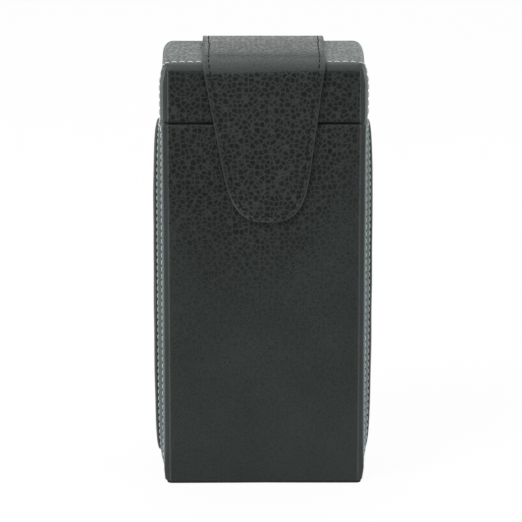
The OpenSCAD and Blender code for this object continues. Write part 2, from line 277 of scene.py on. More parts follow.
def leather_sheet(name, surface, body, material, outward, thickness=LEATHER, dip=0.0, free="abcd",
                  lip_radius=0.5, lip_share=0.6, grain=1.0, edge_wear_and_highlight=0.5, crease=0.0, replaces=()):
    """Leather of even thickness whose outer face is the grid surface, lowered by dip.

    outward is the way that the middle of the sheet faces. The sides named in free (a first row, b last row,
    c first column, d last column) round off: over lip_radius the outer face falls by lip_share of the
    thickness, as a quarter round. The vertex value grain says how strong the pebble is, and fades within
    GRAIN_FADE of a free side; wear_and_highlight is edge wear with a painted edge highlight within
    EDGE_WEAR_AND_HIGHLIGHT_WIDTH of one, with crease added as a painted highlight.
    """
    rows, columns = surface.shape[:2]
    step_rows = np.linalg.norm(np.diff(surface, axis=0), axis=2)
    step_columns = np.linalg.norm(np.diff(surface, axis=1), axis=2)
    from_a = np.concatenate([np.zeros((1, columns)), np.cumsum(step_rows, 0)])
    from_c = np.concatenate([np.zeros((rows, 1)), np.cumsum(step_columns, 1)], 1)
    away = {"a": from_a, "b": from_a[-1:] - from_a, "c": from_c, "d": from_c[:, -1:] - from_c}
    fullness, nearest = 1.0, np.full((rows, columns), np.inf)
    for side in free:
        fullness = fullness * lip(away[side], lip_radius)
        nearest = np.minimum(nearest, away[side])
    normal = facing(surface)
    normal *= np.sign(normal[rows // 2, columns // 2] @ outward)
    drop = thickness * lip_share * (1 - fullness) + dip
    points, faces = closed_sheet(surface - normal * drop[..., None], surface - normal * thickness)
    edge_grain = 1 - EDGE_SMOOTHNESS * np.exp(-(nearest / GRAIN_FADE) ** 2)
    rough = np.broadcast_to(grain, (rows, columns)) * edge_grain
    # Edge wear with a painted edge highlight, plus any painted highlight given as crease.
    wear_and_highlight = np.clip(edge_wear_and_highlight * np.exp(-(nearest / EDGE_WEAR_AND_HIGHLIGHT_WIDTH) ** 2) + crease, 0, 1)
    values = {"grain": np.concatenate([rough.ravel()] * 2), "wear_and_highlight": np.concatenate([wear_and_highlight.ravel()] * 2)}
    piece = make_piece(name, points, faces, body, material, values)
    if replaces:
        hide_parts(*replaces)
    return piece


# ---------------------------------------------------------------- stitches

STITCH_RINGS, STITCH_SIDES = 7, 6
STITCH_SUNK = 0.35


def stitch_row(line, normal, pitch, length, thread, rise=0.28, slant=5.0, skip=None):
    """Points and faces of one row of stitches along a polyline that lies on the leather.

    Each stitch is a round thread that leaves the leather at one hole, arches over and enters the next:
    its middle stands rise above the surface and its ends are sunk below it by STITCH_SUNK of the thread,
    its radius tapers a little at the holes, and it lies slant degrees off the row. skip tells from the
    stitches' places along the row which ones are left out.
    """
    place = spaced_along(line)
    count = int(place[-1] // pitch)
    middle = (np.arange(count) + 0.5) * place[-1] / count
    if skip is not None:
        middle = middle[~skip(middle)]
    turn = np.linspace(0, 1, STITCH_RINGS)
    where = middle[:, None] + (turn - 0.5) * length

    def at(where, values):
        return np.stack([np.interp(where, place, values[:, i]) for i in range(3)], -1)

    centre = at(where, line)
    up = at(where, normal)
    up /= np.linalg.norm(up, axis=-1, keepdims=True)
    ahead = at(where + 0.1, line) - at(where - 0.1, line)
    ahead /= np.maximum(np.linalg.norm(ahead, axis=-1, keepdims=True), 1e-9)
    aside = np.cross(ahead, up)
    arch = np.sin(np.pi * turn) ** 0.6
    lift = (rise + thread * STITCH_SUNK) * arch - thread * STITCH_SUNK
    drift = (turn - 0.5) * length * math.tan(math.radians(slant))
    centre = centre + up * lift[None, :, None] + aside * drift[None, :, None]
    radius = thread / 2 * (0.55 + 0.45 * np.sin(np.pi * turn) ** 0.5)
    angle = np.linspace(0, 2 * np.pi, STITCH_SIDES, endpoint=False)[None, None, :, None]
    around = aside[:, :, None] * np.cos(angle) + up[:, :, None] * np.sin(angle)
    rings = centre[:, :, None] + around * radius[None, :, None, None]
    each = STITCH_RINGS * STITCH_SIDES
    points = np.concatenate([rings.reshape(len(middle), each, 3), centre[:, :1], centre[:, -1:]], 1)
    index = np.arange(each).reshape(STITCH_RINGS, STITCH_SIDES)
    onward = np.roll(index, -1, 1)
    tube = np.stack([index[:-1], onward[:-1], onward[1:], index[1:]], -1).reshape(-1, 4)
    cap = np.concatenate([
        np.stack([onward[0], index[0], np.full(STITCH_SIDES, each)], 1),
        np.stack([index[-1], onward[-1], np.full(STITCH_SIDES, each + 1)], 1)])
    start = (np.arange(len(middle)) * (each + 2))[:, None, None]
    return points.reshape(-1, 3), [(tube + start).reshape(-1, 4), (cap + start).reshape(-1, 3)]


def join_rows(rows):
    """One set of points and faces from several."""
    points, faces, start = [], [], 0
    for row_points, row_faces in rows:
        points.append(row_points)
        faces += [group + start for group in row_faces]
        start += len(row_points)
    return np.concatenate(points), faces


# ---------------------------------------------------------------- material tools

def new_material(name, roughness=0.5, specular=0.5, metallic=0.0, colour=(0.02, 0.02, 0.02)):
    """Material with one Principled shader; the even values sit on the shader's own sockets."""
    material = bpy.data.materials.new(name)
    material.use_nodes = True
    shader = material.node_tree.nodes["Principled BSDF"]
    shader.inputs["Roughness"].default_value = roughness
    shader.inputs["Specular IOR Level"].default_value = specular
    shader.inputs["Metallic"].default_value = metallic
    shader.inputs["Base Color"].default_value = (*colour, 1)
    return material, material.node_tree, shader


def add(tree, kind, inputs=None, **settings):
    """Adds a node; inputs maps socket names or numbers to a value or to another node's socket."""
    node = tree.nodes.new(kind)
    for key, value in settings.items():
        setattr(node, key, value)
    for key, value in (inputs or {}).items():
        socket = node.inputs[key]
        if isinstance(value, bpy.types.NodeSocket):
            tree.links.new(value, socket)
        else:
            socket.default_value = value
    return node


def calculate(tree, operation, *values):
    """Output of a Math node."""
    return add(tree, "ShaderNodeMath", dict(enumerate(values)), operation=operation).outputs[0]


def scaled(tree, value, factor, plus=0.0):
    """value times factor, plus an offset: each is a number or another node's output."""
    return calculate(tree, "MULTIPLY_ADD", value, factor, plus)


def inverse(tree, value):
    """1 less value."""
    return calculate(tree, "SUBTRACT", 1.0, value)


def vector_scaled(tree, vector, factor):
    """A place or a colour times a number."""
    return add(tree, "ShaderNodeVectorMath", {0: vector, "Scale": factor}, operation="SCALE").outputs[0]


def soft_step(tree, value, low, high):
    """Output that rises smoothly from 0 at low to 1 at high."""
    node = add(tree, "ShaderNodeMapRange", {"Value": value, "From Min": low, "From Max": high},
               interpolation_type="SMOOTHSTEP")
    return node.outputs["Result"]


def mix_colour(tree, share, first, second):
    """Colour between first and second, by share."""
    node = add(tree, "ShaderNodeMix", data_type="RGBA")
    sockets = [s for s in node.inputs if s.enabled]
    for socket, value in zip(sockets, (share, first, second)):
        if isinstance(value, bpy.types.NodeSocket):
            tree.links.new(value, socket)
        elif isinstance(value, (int, float)):
            socket.default_value = value
        else:
            socket.default_value = (*value, 1)
    return [s for s in node.outputs if s.enabled][0]


def noise(tree, where, scale, detail=2.0, roughness=0.5, output=0):
    """Noise value at a place, or its colour as output 1, scale in repeats per metre."""
    return add(tree, "ShaderNodeTexNoise", {"Vector": where, "Scale": scale, "Detail": detail,
                                            "Roughness": roughness}).outputs[output]


def cells(tree, where, scale, randomness=0.85, feature="DISTANCE_TO_EDGE"):
    """Outputs of a cell pattern at a place, scale in cells per metre."""
    return add(tree, "ShaderNodeTexVoronoi", {"Vector": where, "Scale": scale, "Randomness": randomness},
               feature=feature).outputs


def object_place(tree):
    """Object coordinates, in metres."""
    return add(tree, "ShaderNodeTexCoord").outputs["Object"]


def vertex_value(tree, name):
    """A vertex attribute's value."""
    return add(tree, "ShaderNodeAttribute", attribute_name=name).outputs["Fac"]


def shade_of(colour, factor):
    """The same colour made darker or paler by factor."""
    return tuple(factor * part for part in colour)


def add_sheen(shader, weight, roughness, tint=None):
    """Soft sheen, even all over, set on the shader's own sockets."""
    shader.inputs["Sheen Weight"].default_value = weight
    shader.inputs["Sheen Roughness"].default_value = roughness
    if tint:
        shader.inputs["Sheen Tint"].default_value = (*tint, 1)


def cover(tree, shader, colour, height, depth, strength=1.0):
    """Feeds the shader a colour, and a height as a bump that is depth millimetres deep."""
    tree.links.new(colour, shader.inputs["Base Color"])
    rugged = add(tree, "ShaderNodeBump", {"Height": height, "Distance": depth * MM, "Strength": strength})
    tree.links.new(rugged.outputs[0], shader.inputs["Normal"])


# ---------------------------------------------------------------- leather

# Cell sizes, the warp's reach and bump depths are in millimetres, and noise scales in repeats per metre.
PEBBLE, SMALL_PEBBLE, SMALL_DEPTH = 2.2, 1.35, 2.6
WARP_SCALE, WARP_REACH = 420.0, 1.1
CLUMP_SCALE, PATCH_SCALE, BROAD_SCALE = 230.0, 1100.0, 35.0
HAIR_SCALE, FINE_SCALE = 950.0, 2600.0
# Share of painted highlight along the pebble ridges' crests.
CREST_HIGHLIGHT_SHARE = 0.18
# Colour of the pebble's hollows: the grain's own dark tone with painted shade.
HOLLOW_SHADE_BLACK = (0.0038, 0.0044, 0.0050)
RIDGE_BLACK = (0.0202, 0.0235, 0.0228)
PANEL_RIDGE = (0.0168, 0.0196, 0.0190)
SMOOTH_BLACK = (0.0300, 0.0354, 0.0338)
# Pale of worn edges, also used for painted highlights and glints.
WEAR_AND_HIGHLIGHT_BLACK = (0.095, 0.105, 0.102)


def pebbled_leather(name, roughness, specular, sheen=0.0, sheen_tint=(0.93, 1.0, 0.94), depth=0.18,
                    ridge=RIDGE_BLACK):
    """Black leather with an irregular pebble grain.

    Warped cells give the pattern: ridges run where the distance to a cell's edge is small, and the cells
    between them are hollows, some deeper than others. The hollows are darker than the ridges, partly by
    the grain's own tone and partly by painted shade, and a painted highlight pales the ridges' crests. The
    vertex value grain fades the pattern, by way of faint small cells, to smooth leather, and
    wear_and_highlight pales the rounded edges with wear and a painted edge highlight, broken into patches
    by painted glints.
    """
    material, tree, shader = new_material(name, roughness, specular)
    add_sheen(shader, sheen, 0.25, sheen_tint)
    place = object_place(tree)
    grain, wear_and_highlight = vertex_value(tree, "grain"), vertex_value(tree, "wear_and_highlight")
    fine, hair = noise(tree, place, FINE_SCALE, 3.0, 0.6), noise(tree, place, HAIR_SCALE, 2.0, 0.6)

    sway = noise(tree, place, WARP_SCALE, 3.0, output=1)
    sway = add(tree, "ShaderNodeVectorMath", {0: sway, 1: (0.5, 0.5, 0.5)}, operation="SUBTRACT").outputs[0]
    sway = vector_scaled(tree, sway, WARP_REACH * MM)
    warped = add(tree, "ShaderNodeVectorMath", {0: place, 1: sway}, operation="ADD").outputs[0]
    edge = cells(tree, warped, 1000 / PEBBLE)["Distance"]
    cell = cells(tree, warped, 1000 / PEBBLE, feature="F1")
    small_edge = cells(tree, warped, 1000 / SMALL_PEBBLE, 0.95)["Distance"]

    # Depth and darkness of each hollow; its dark colour is partly the grain's own tone and partly painted
    # shade.
    clump = soft_step(tree, noise(tree, place, CLUMP_SCALE, 1.0), 0.3, 0.7)
    chance = add(tree, "ShaderNodeSeparateColor", {"Color": cell["Color"]}).outputs[0]
    cell_depth = scaled(tree, chance, 0.28, scaled(tree, clump, 0.18, 0.55))
    rounded = inverse(tree, soft_step(tree, cell["Distance"], 0.40, 0.95))
    hollow = scaled(tree, scaled(tree, soft_step(tree, edge, -0.05, 0.28), rounded), cell_depth)
    faded = inverse(tree, grain)
    small_share = scaled(tree, scaled(tree, grain, SMALL_DEPTH), scaled(tree, faded, faded))
    small_hollow = scaled(tree, soft_step(tree, small_edge, -0.05, 0.35), small_share)
    pattern = scaled(tree, hollow, grain, small_hollow)

    # Painted glints: noise breaks the pale edges and highlights into patches.
    patchy = soft_step(tree, noise(tree, place, PATCH_SCALE, 2.0), 0.45, 0.62)
    uneven = scaled(tree, calculate(tree, "SUBTRACT", patchy, 0.45), scaled(tree, wear_and_highlight, grain))
    # Painted highlight along the ridges' crests.
    crest_highlight = scaled(tree, inverse(tree, soft_step(tree, edge, 0.0, 0.12)), grain)
    pale = scaled(tree, crest_highlight, CREST_HIGHLIGHT_SHARE, scaled(tree, uneven, 1.6, wear_and_highlight))
    lit = mix_colour(tree, pale, mix_colour(tree, grain, SMOOTH_BLACK, ridge), WEAR_AND_HIGHLIGHT_BLACK)
    dark = mix_colour(tree, pattern, lit, HOLLOW_SHADE_BLACK)
    speck = scaled(tree, fine, 0.35, scaled(tree, noise(tree, place, BROAD_SCALE), 0.5))
    shade = calculate(tree, "ADD", scaled(tree, hair, 0.5, speck), 0.35)

    dull = scaled(tree, fine, 0.12, scaled(tree, pattern, 0.25))
    tree.links.new(calculate(tree, "ADD", dull, scaled(tree, grain, -0.2, roughness + 0.2)),
                   shader.inputs["Roughness"])
    height = scaled(tree, hair, 0.14, scaled(tree, fine, 0.15, scaled(tree, pattern, -1.0)))
    cover(tree, shader, vector_scaled(tree, dark, shade), height, depth)
    return material


def plain_leather(name, colour, roughness, specular, depth=0.06):
    """Matt black leather with only a fine hair-cell grain."""
    material, tree, shader = new_material(name, roughness, specular)
    place = object_place(tree)
    hair = cells(tree, place, 1900.0, 1.0, "SMOOTH_F1")["Distance"]
    share = scaled(tree, noise(tree, place, 60.0, 3.0), 0.7, scaled(tree, hair, 0.25))
    cover(tree, shader, mix_colour(tree, share, colour, shade_of(colour, 1.7)), hair, depth)
    return material


def suede_cloth(name, colour, sheen=0.25):
    """Napped cloth: short fibres as fine noise, a soft sheen and brushed patches."""
    material, tree, shader = new_material(name, 0.95, 0.15)
    add_sheen(shader, sheen, 0.5)
    place = object_place(tree)
    nap = noise(tree, place, 3200.0, 3.0, 0.7)
    brushed = noise(tree, place, 90.0, 3.0, 0.6)
    share = scaled(tree, nap, 0.5, scaled(tree, brushed, 0.6))
    napped = mix_colour(tree, share, shade_of(colour, 0.55), shade_of(colour, 1.6))
    cover(tree, shader, napped, nap, 0.12, 0.8)
    return material


def woven_cloth(name, colour, thread=0.45):
    """Plain weave: two sets of crossing sine ribs, a rib for each thread, in object coordinates."""
    material, tree, shader = new_material(name, 0.75, 0.3)
    place = object_place(tree)
    axes = add(tree, "ShaderNodeSeparateXYZ", {0: place}).outputs
    pace = math.pi * 1000 / thread
    across = calculate(tree, "SINE", scaled(tree, axes[0], pace))
    upward = calculate(tree, "SINE", scaled(tree, axes[2], pace))
    weave = calculate(tree, "ABSOLUTE", scaled(tree, across, upward))
    share = scaled(tree, noise(tree, place, 400.0), 0.4, scaled(tree, weave, 0.6))
    cover(tree, shader, mix_colour(tree, share, shade_of(colour, 0.5), shade_of(colour, 1.5)), weave, 0.1)
    return material


def twisted_thread(name, colour, roughness=0.5, specular=0.35):
    """Sewing thread: fine slanting plies and small changes of shade from stitch to stitch."""
    material, tree, shader = new_material(name, roughness, specular)
    place = object_place(tree)
    axes = add(tree, "ShaderNodeSeparateXYZ", {0: place}).outputs
    along = calculate(tree, "ADD", calculate(tree, "ADD", axes[0], axes[1]), scaled(tree, axes[2], 1.3))
    ply = calculate(tree, "ABSOLUTE", calculate(tree, "SINE", scaled(tree, along, 9000.0)))
    share = scaled(tree, noise(tree, place, 180.0), 0.6, scaled(tree, ply, 0.4))
    cover(tree, shader, mix_colour(tree, share, shade_of(colour, 0.6), colour), ply, 0.04, 0.7)
    return material


def pressed_card(name, colour, fleck_colour=(0.06, 0.06, 0.06)):
    """Black bookbinder's card: pressed fibres, and flecks of another shade."""
    material, tree, shader = new_material(name, 0.9, 0.2)
    place = object_place(tree)
    fibre = noise(tree, place, 1500.0, 4.0, 0.65)
    fleck = scaled(tree, soft_step(tree, noise(tree, place, 420.0, 1.0), 0.62, 0.7), 0.5)
    pressed = mix_colour(tree, fibre, shade_of(colour, 0.7), shade_of(colour, 1.2))
    cover(tree, shader, mix_colour(tree, fleck, pressed, fleck_colour), fibre, 0.1, 0.6)
    return material


def plated_metal(name, colour, roughness):
    """Plated steel: brushed by stretched noise, with faint stains."""
    material, tree, shader = new_material(name, roughness, 0.5, 1.0, colour)
    place = object_place(tree)
    drawn = add(tree, "ShaderNodeMapping", {"Vector": place, "Scale": (200.0, 200.0, 6000.0)}).outputs[0]
    brushed = noise(tree, drawn, 1.0, 2.0)
    share = scaled(tree, brushed, 0.4, scaled(tree, noise(tree, place, 250.0, 2.0), 0.4))
    cover(tree, shader, mix_colour(tree, share, shade_of(colour, 0.75), colour), brushed, 0.02, 0.5)
    return material


# The wrap's and the sides' sheens are tinted teal to stand in for a tinted reflection, and the sides' copy of
# the leather has the stronger teal sheen.
panel_leather = pebbled_leather("panel_leather", 0.36, 0.14, ridge=PANEL_RIDGE)
wrap_leather = pebbled_leather("wrap_leather", 0.27, 0.25, 0.23, (0.76, 1.0, 0.93), depth=0.24)
side_leather = pebbled_leather("side_leather", 0.27, 0.21, 0.4, (0.66, 1.0, 1.0))
strap_leather = pebbled_leather("strap_leather", 0.27, 0.14, 0.12, depth=0.26)
smooth_leather = plain_leather("smooth_leather", (0.008, 0.0088, 0.0088), 0.6, 0.25)
pad_leather = plain_leather("pad_leather", (0.010, 0.0116, 0.0116), 0.55, 0.28, depth=0.12)
suede = suede_cloth("suede", (0.060, 0.057, 0.055))
cushion_suede = suede_cloth("cushion_suede", (0.080, 0.076, 0.072), 0.35)
piping_suede = suede_cloth("piping_suede", (0.050, 0.047, 0.045), 0.2)
ribbon_cloth = woven_cloth("ribbon_cloth", (0.030, 0.030, 0.031))
pale_thread = twisted_thread("pale_thread", (0.84, 0.92, 0.95))
black_thread = twisted_thread("black_thread", (0.021, 0.0235, 0.0230), 0.95, 0.02)
board = pressed_card("board", (0.030, 0.030, 0.031))
steel = plated_metal("steel", (0.55, 0.55, 0.56), 0.35)
nickel = plated_metal("nickel", (0.64, 0.63, 0.62), 0.22)

CAD_FINISHES = {
    "body_shell": board, "catch_plate": steel, "flap_magnet": nickel, "pull_tab": ribbon_cloth,
    "body_lining": suede, "lid_lining": suede, "insert_floor": suede, "insert_spine": suede,
    "divider_lower": suede, "divider_upper": suede, "collar": suede,
}
for node_name, finish in CAD_FINISHES.items():
    for material_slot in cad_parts[node_name].material_slots:
        material_slot.material = finish

# ---------------------------------------------------------------- body: front panel

BORDER_STEP = 0.35
RIM_ROUND = 1.2
PANEL_GAP, BASE_GAP = 0.25, 0.05
FOOT_H, FOOT_TAPER, FOOT_ROUND = 6.5, 1.0, 1.3
GRAIN_LINE, GRAIN_SAG, GRAIN_TILT = 102, 22, 10
GRAIN_BELOW, GRAIN_ABOVE = 25, 24
GRAIN_HALF_X, GRAIN_END_X = 33, 36
LEAST_GRAIN, GRAIN_PER_MM = 0.05, 0.0017
PANEL_SWELL = 0.05


def foot_inset(z, share=1.0):
    """How far a side draws in at the base: its share of a slight taper, and a quarter round below it."""
    taper = share * FOOT_TAPER * np.clip(1 - z / FOOT_H, 0, 1) ** 1.3
    return taper + FOOT_ROUND * (1 - np.sqrt(1 - np.clip(1 - z / FOOT_ROUND, 0, 1) ** 2))


def panel_half(z):
    """Half width of the body's front and back panels at a height."""
    return np.minimum(PANEL_X, EDGE_X - foot_inset(z) - PANEL_GAP)


def body_grain(z, x=0.0):
    """Strength of the pebble on the body: low near the base, and full above a line.

    The line is a parabola in x, lowest near the middle and higher on the right than on the left.
    """
    share = np.clip(x, -GRAIN_END_X, GRAIN_END_X) / GRAIN_HALF_X
    line = GRAIN_LINE + GRAIN_SAG * share ** 2 + GRAIN_TILT * share
    low = LEAST_GRAIN + GRAIN_PER_MM * np.clip(z, 0, 100)
    return low + (1 - low) * smooth(z, line - GRAIN_BELOW, line + GRAIN_ABOVE)


def front_panel(name, path, half, body, grain, edge_wear_and_highlight, replaces):
    """Panel whose cross-section in y and z is path and whose half width is half, one for each path point."""
    share = stations(-1, 1, 1.6 / PANEL_X, 0.9 / PANEL_X)
    surface = flat_grid(half, share, path[:, :1], path[:, 1:])
    x, y, z = np.moveaxis(surface, -1, 0)
    swell = PANEL_SWELL * ripple(x, z, period=34, seed=11) * smooth(half[:, None] - np.abs(x), 0, 6)
    # Where the panel turns in over the rim the pebble fades, and a painted highlight, given as crease, pales
    # the rounded edge.
    turned_in = smooth(y, FRONT_Y + 0.05, FRONT_Y + 0.5)
    leather_sheet(name, surface, body, panel_leather, (0, -1, 0), dip=swell, free="acd",
                  lip_radius=0.6, lip_share=0.4, grain=grain(z, x) * (1 - 0.8 * turned_in), edge_wear_and_highlight=edge_wear_and_highlight,
                  crease=0.28 * turned_in, replaces=replaces)


def near_foot(points):
    """Two more places per millimetre where the foot rounds in."""
    return 2.0 * (points[:, 1] < FOOT_H + 0.5)


body_path = rounded_path([(WALL_IN_Y, RIM_Z), (FRONT_Y, RIM_Z), (FRONT_Y, BASE_T + BASE_GAP)], [RIM_ROUND],
                         finer=near_foot)
# Edge wear with a painted edge highlight: 0.8 on the body's front panel and 1.4 on the lid's.
front_panel("front_panel", body_path, panel_half(body_path[:, 1]), "case", body_grain, 0.8, ["front_leather"])

lid_path = rounded_path([(WALL_IN_Y, LID_Z), (FRONT_Y, LID_Z), (FRONT_Y, FOLD_Z)], [RIM_ROUND])
front_panel("lid_front_panel", lid_path, np.full(len(lid_path), PANEL_X), "lid",
            lambda z, x: 1 - 0.5 * smooth(z, FOLD_Z - 1.5, FOLD_Z), 1.4, ["lid_front_leather"])

# ---------------------------------------------------------------- body: sides

CORNER_D, LEAST_CORNER = 2.6, 0.3
SLOPE_Y = -FRONT_Y - BORDER_STEP - CORNER_D
SLOPE_END_Y = 23.0
SLOPE_RISE = 2.5
SHELF = 0.35
CROWN = BULGE_X - EDGE_X
SWELL_POWER = 3.6

# The two sides are stuffed a little differently: -1 is the left side and 1 the right.
SWELL_LOW, SWELL_HIGH = {-1: 6.4, 1: 8.3}, RIM_Z + 0.3
FULLNESS = {-1: (1.03, 0.0), 1: (0.87, 0.05)}
TAPER_SHARE = {-1: 0.6, 1: 1.0}


def swell_share(z, side):
    """Share of the side's bulge at a height: a superellipse crown from the base to the rim."""
    middle, half = (SWELL_LOW[side] + SWELL_HIGH) / 2, (SWELL_HIGH - SWELL_LOW[side]) / 2
    return bump((z - middle) / half, SWELL_POWER)


def side_rise(y):
    """How far the side leather stands out at a depth, from the corner to the pad.

    It is a straight slope, hollowed by a sine that fades towards the pad.
    """
    t = np.clip((SLOPE_Y - np.abs(y)) / (SLOPE_Y - SLOPE_END_Y), 0, 1)
    return (SLOPE_RISE + SHELF) * (t - 0.08 * np.sin(np.pi * t) * (1 - t)) - SHELF


def fullness(side, z):
    """Share of the full bulge that one side has at a height."""
    middle, gain = FULLNESS[side]
    return middle + gain * (z - RIM_Z / 2) / (RIM_Z / 2)


def side_point(u, turned, z, side):
    """Point of the right side's leather, or of the left side's mirrored to the right.

    u runs from the front crease (0) round a quarter-ellipse corner (to 1), back along the side (to 2)
    and round the rear corner (to 3). turned goes from 0 on the outside to 1 at the inner face of the wall.
    """
    u, turned, z = np.broadcast_arrays(u, turned, z)
    edge = EDGE_X - foot_inset(z, TAPER_SHARE[side])
    crease = np.minimum(PANEL_X - PANEL_GAP, edge - LEAST_CORNER)
    bend = np.where(u <= 1, np.clip(u, 0, 1), np.clip(3 - u, 0, 1)) * np.pi / 2
    corner_x = crease + (edge - SHELF * swell_share(z, side) - crease) * np.sin(bend)
    corner_y = np.where(u <= 1, -1, 1) * (SLOPE_Y + CORNER_D * np.cos(bend))
    flat_y = SLOPE_Y * (2 * np.clip(u - 1, 0, 1) - 1)
    flat_x = edge + fullness(side, z) * swell_share(z, side) * side_rise(flat_y)
    on_flat = (u > 1) & (u < 2)
    x = np.where(on_flat, flat_x, corner_x)
    y = np.where(on_flat, flat_y, corner_y)
    x_in = np.minimum(x, EDGE_X - WALL_T)
    y_in = np.clip(y, WALL_IN_Y, -WALL_IN_Y)
    x = x + (x_in - x) * turned
    y = y + (y_in - y) * turned
    return np.stack([x, y, z], -1)


def side_normal(u, z, side):
    """Unit outward normal of the side leather, from small steps in u and z."""
    along = side_point(u + 0.002, 0, z, side) - side_point(u - 0.002, 0, z, side)
    upward = side_point(u, 0, z + 0.05, side) - side_point(u, 0, z - 0.05, side)
    normal = np.cross(along, upward)
    normal *= np.sign(normal[..., :1])
    return normal / np.linalg.norm(normal, axis=-1, keepdims=True)


def mirrored(points, side):
    """Points of the right side, or their mirror image for the left."""
    return points * np.array([side, 1, 1])


def side_place(y):
    """Value of u on the flat of the side at a depth."""
    return 1.5 + y / (2 * SLOPE_Y)


rim_path = rounded_path([(0, BASE_T + BASE_GAP), (0, RIM_Z), (WALL_T, RIM_Z)], [RIM_ROUND], finer=near_foot)
half_u = np.concatenate([np.linspace(0, 0.12, 4)[:-1], np.linspace(0.12, 1, 9)[:-1], np.linspace(1, 1.5, 30)])
side_u = np.concatenate([half_u, 3 - half_u[-2::-1]])
PAD_HALF_Y, PAD_LOW, PAD_HIGH = 22.2, 7.9, RIM_Z - 4.4
PAD_MIDDLE, PAD_HALF_Z = (PAD_LOW + PAD_HIGH) / 2, (PAD_HIGH - PAD_LOW) / 2
PAD_POWER, PAD_TOP_POWER = 6.0, 17
PAD_END = {-1: (18, 0.9), 1: (6.6, 0.45)}
PAD_RIPPLE, PULL_DEPTH, PULL_REACH = 0.13, 0.2, 3.4
PAD_SEAM_GAP = 1.15
SEAM_Y, SEAM_RISE, SEAM_TOP, SEAM_ROUND = 30.7, 3.6, RIM_Z - 2.1, 5.0
SEAM_STEP = 0.7
SIDE_PITCH, SIDE_STITCH, SIDE_THREAD, SIDE_SUNK = 3.05, 2.6, 0.40, 0.16


def pad_edge_y(z, grow):
    """Half depth of the pad's outline at a height: a superellipse, grown outwards by grow."""
    return (PAD_HALF_Y + grow) * bump(np.clip((z - PAD_MIDDLE) / (PAD_HALF_Z + grow), -1, 1), PAD_POWER)


def round_seam(half_y, low, high, radius):
    """Closed seam line in y and z: a rectangle with round corners, from the middle of its lower side."""
    points = [(0, low), (half_y, low), (half_y, high), (-half_y, high), (-half_y, low), (0, low)]
    return even_line(rounded_path(points, [radius] * 4, bend=3), SEAM_STEP)


def pad_seam(grow):
    """Closed seam line in y and z, grow outside the pad's superellipse outline."""
    angle = np.linspace(-np.pi / 2, 1.5 * np.pi, 4000)
    across, up = np.cos(angle), np.sin(angle)
    y = (PAD_HALF_Y + grow) * np.sign(across) * np.abs(across) ** (2 / PAD_POWER)
    z = PAD_MIDDLE + (PAD_HALF_Z + grow) * np.sign(up) * np.abs(up) ** (2 / PAD_POWER)
    return even_line(np.stack([y, z], 1), SEAM_STEP)


def side_wrap(side, label):
    """Leather of a side wall, turned in over the rim, with the lines of its two seams pressed into it."""
    turned = np.clip(rim_path[:, :1] / WALL_T, 0, 1)
    surface = side_point(side_u, turned, rim_path[:, 1:], side)
    depth, z = np.abs(surface[..., 1]), surface[..., 2]
    inner_line = np.minimum(np.abs(depth - SEAM_Y) + FAR * (z > SEAM_TOP),
                            np.abs(z - SEAM_TOP) + FAR * (depth > SEAM_Y))
    dip = groove(inner_line, 0.22, 0.55) + groove(np.abs(depth - pad_edge_y(z, PAD_SEAM_GAP)), 0.25, 0.6)
    rough = (0.1 + 0.25 * smooth(depth, 34, 20)) * body_grain(z)
    leather_sheet(f"side_wrap_{label}", mirrored(surface, side), "case", side_leather,
                  (side, 0, 0), dip=dip, grain=rough, lip_radius=0.4, lip_share=0.4,
                  replaces=[f"side_leather_{label}"])


def side_pad(side, label):
    """Oval cushion whose face rises steeply from its sewn edge to a flat crown.

    Its height is a superellipse across times one along, whose lower end has a power of its own, and all but
    a least share of it follows the side's bulge. A ripple is added, and the pull of the stitches is taken
    off along the edge.
    """
    share_y = np.sin(np.linspace(-np.pi / 2, np.pi / 2, 41))
    near_end = 0.06 * (1 - np.cos(np.linspace(0, np.pi / 2, 8)))[:-1]
    share_z = np.concatenate([-1 + near_end, np.linspace(-0.94, 0.94, 260), (1 - near_end)[::-1]])
    pad_z = np.broadcast_to((PAD_MIDDLE + PAD_HALF_Z * share_z)[:, None], (len(share_z), len(share_y)))
    pad_y = pad_edge_y(pad_z, 0) * share_y
    base = side_point(side_place(pad_y), 0, pad_z, side)
    end_power, end_least = PAD_END[side]
    along = np.where(share_z > 0, bump(share_z, PAD_TOP_POWER), bump(share_z, end_power))
    least = np.where(pad_z < RIM_Z / 2, end_least, 0.45)
    height = fullness(side, pad_z) * ((CROWN - SLOPE_RISE) * bump(share_y, 3) * along[:, None])
    height = height * (least + (1 - least) * swell_share(pad_z, side))
    uneven = ripple(pad_y, pad_z, period=19, seed=5 + side)
    height = height + PAD_RIPPLE * uneven * bump(share_y, 4) * bump(share_z, 6)[:, None]
    pull = 1 + np.cos(2 * np.pi * pad_z / SIDE_PITCH + 4 * np.sin(pad_z / 11))
    near_edge = np.exp(-((PAD_HALF_Y - np.abs(pad_y)) / PULL_REACH) ** 2)
    height = height - PULL_DEPTH * pull * bump(share_y, 2) * near_edge
    outwards = np.array([1.0, 0, 0])
    points, faces = closed_sheet(base + outwards * np.maximum(height, 0)[..., None], base - outwards)
    pad = make_piece(f"side_pad_{label}", mirrored(points, side), faces, "case",
                     pad_leather, merge=SOFT_MERGE)
    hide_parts(f"side_foam_{label}")


def side_stitches(side, label):
    """Stitches of the side's two seams, sunk a little into the leather."""
    rows = []
    for seam in (round_seam(SEAM_Y, BASE_T + SEAM_RISE, SEAM_TOP, SEAM_ROUND), pad_seam(PAD_SEAM_GAP)):
        ring_u, ring_z = side_place(seam[:, 0]), seam[:, 1]
        normal = side_normal(ring_u, ring_z, side)
        line = side_point(ring_u, 0, ring_z, side) - normal * SIDE_SUNK
        rows.append(stitch_row(mirrored(line, side), mirrored(normal, side), SIDE_PITCH, SIDE_STITCH,
                               SIDE_THREAD))
    points, faces = join_rows(rows)
    make_piece(f"side_stitches_{label}", points, faces, "case", pale_thread)


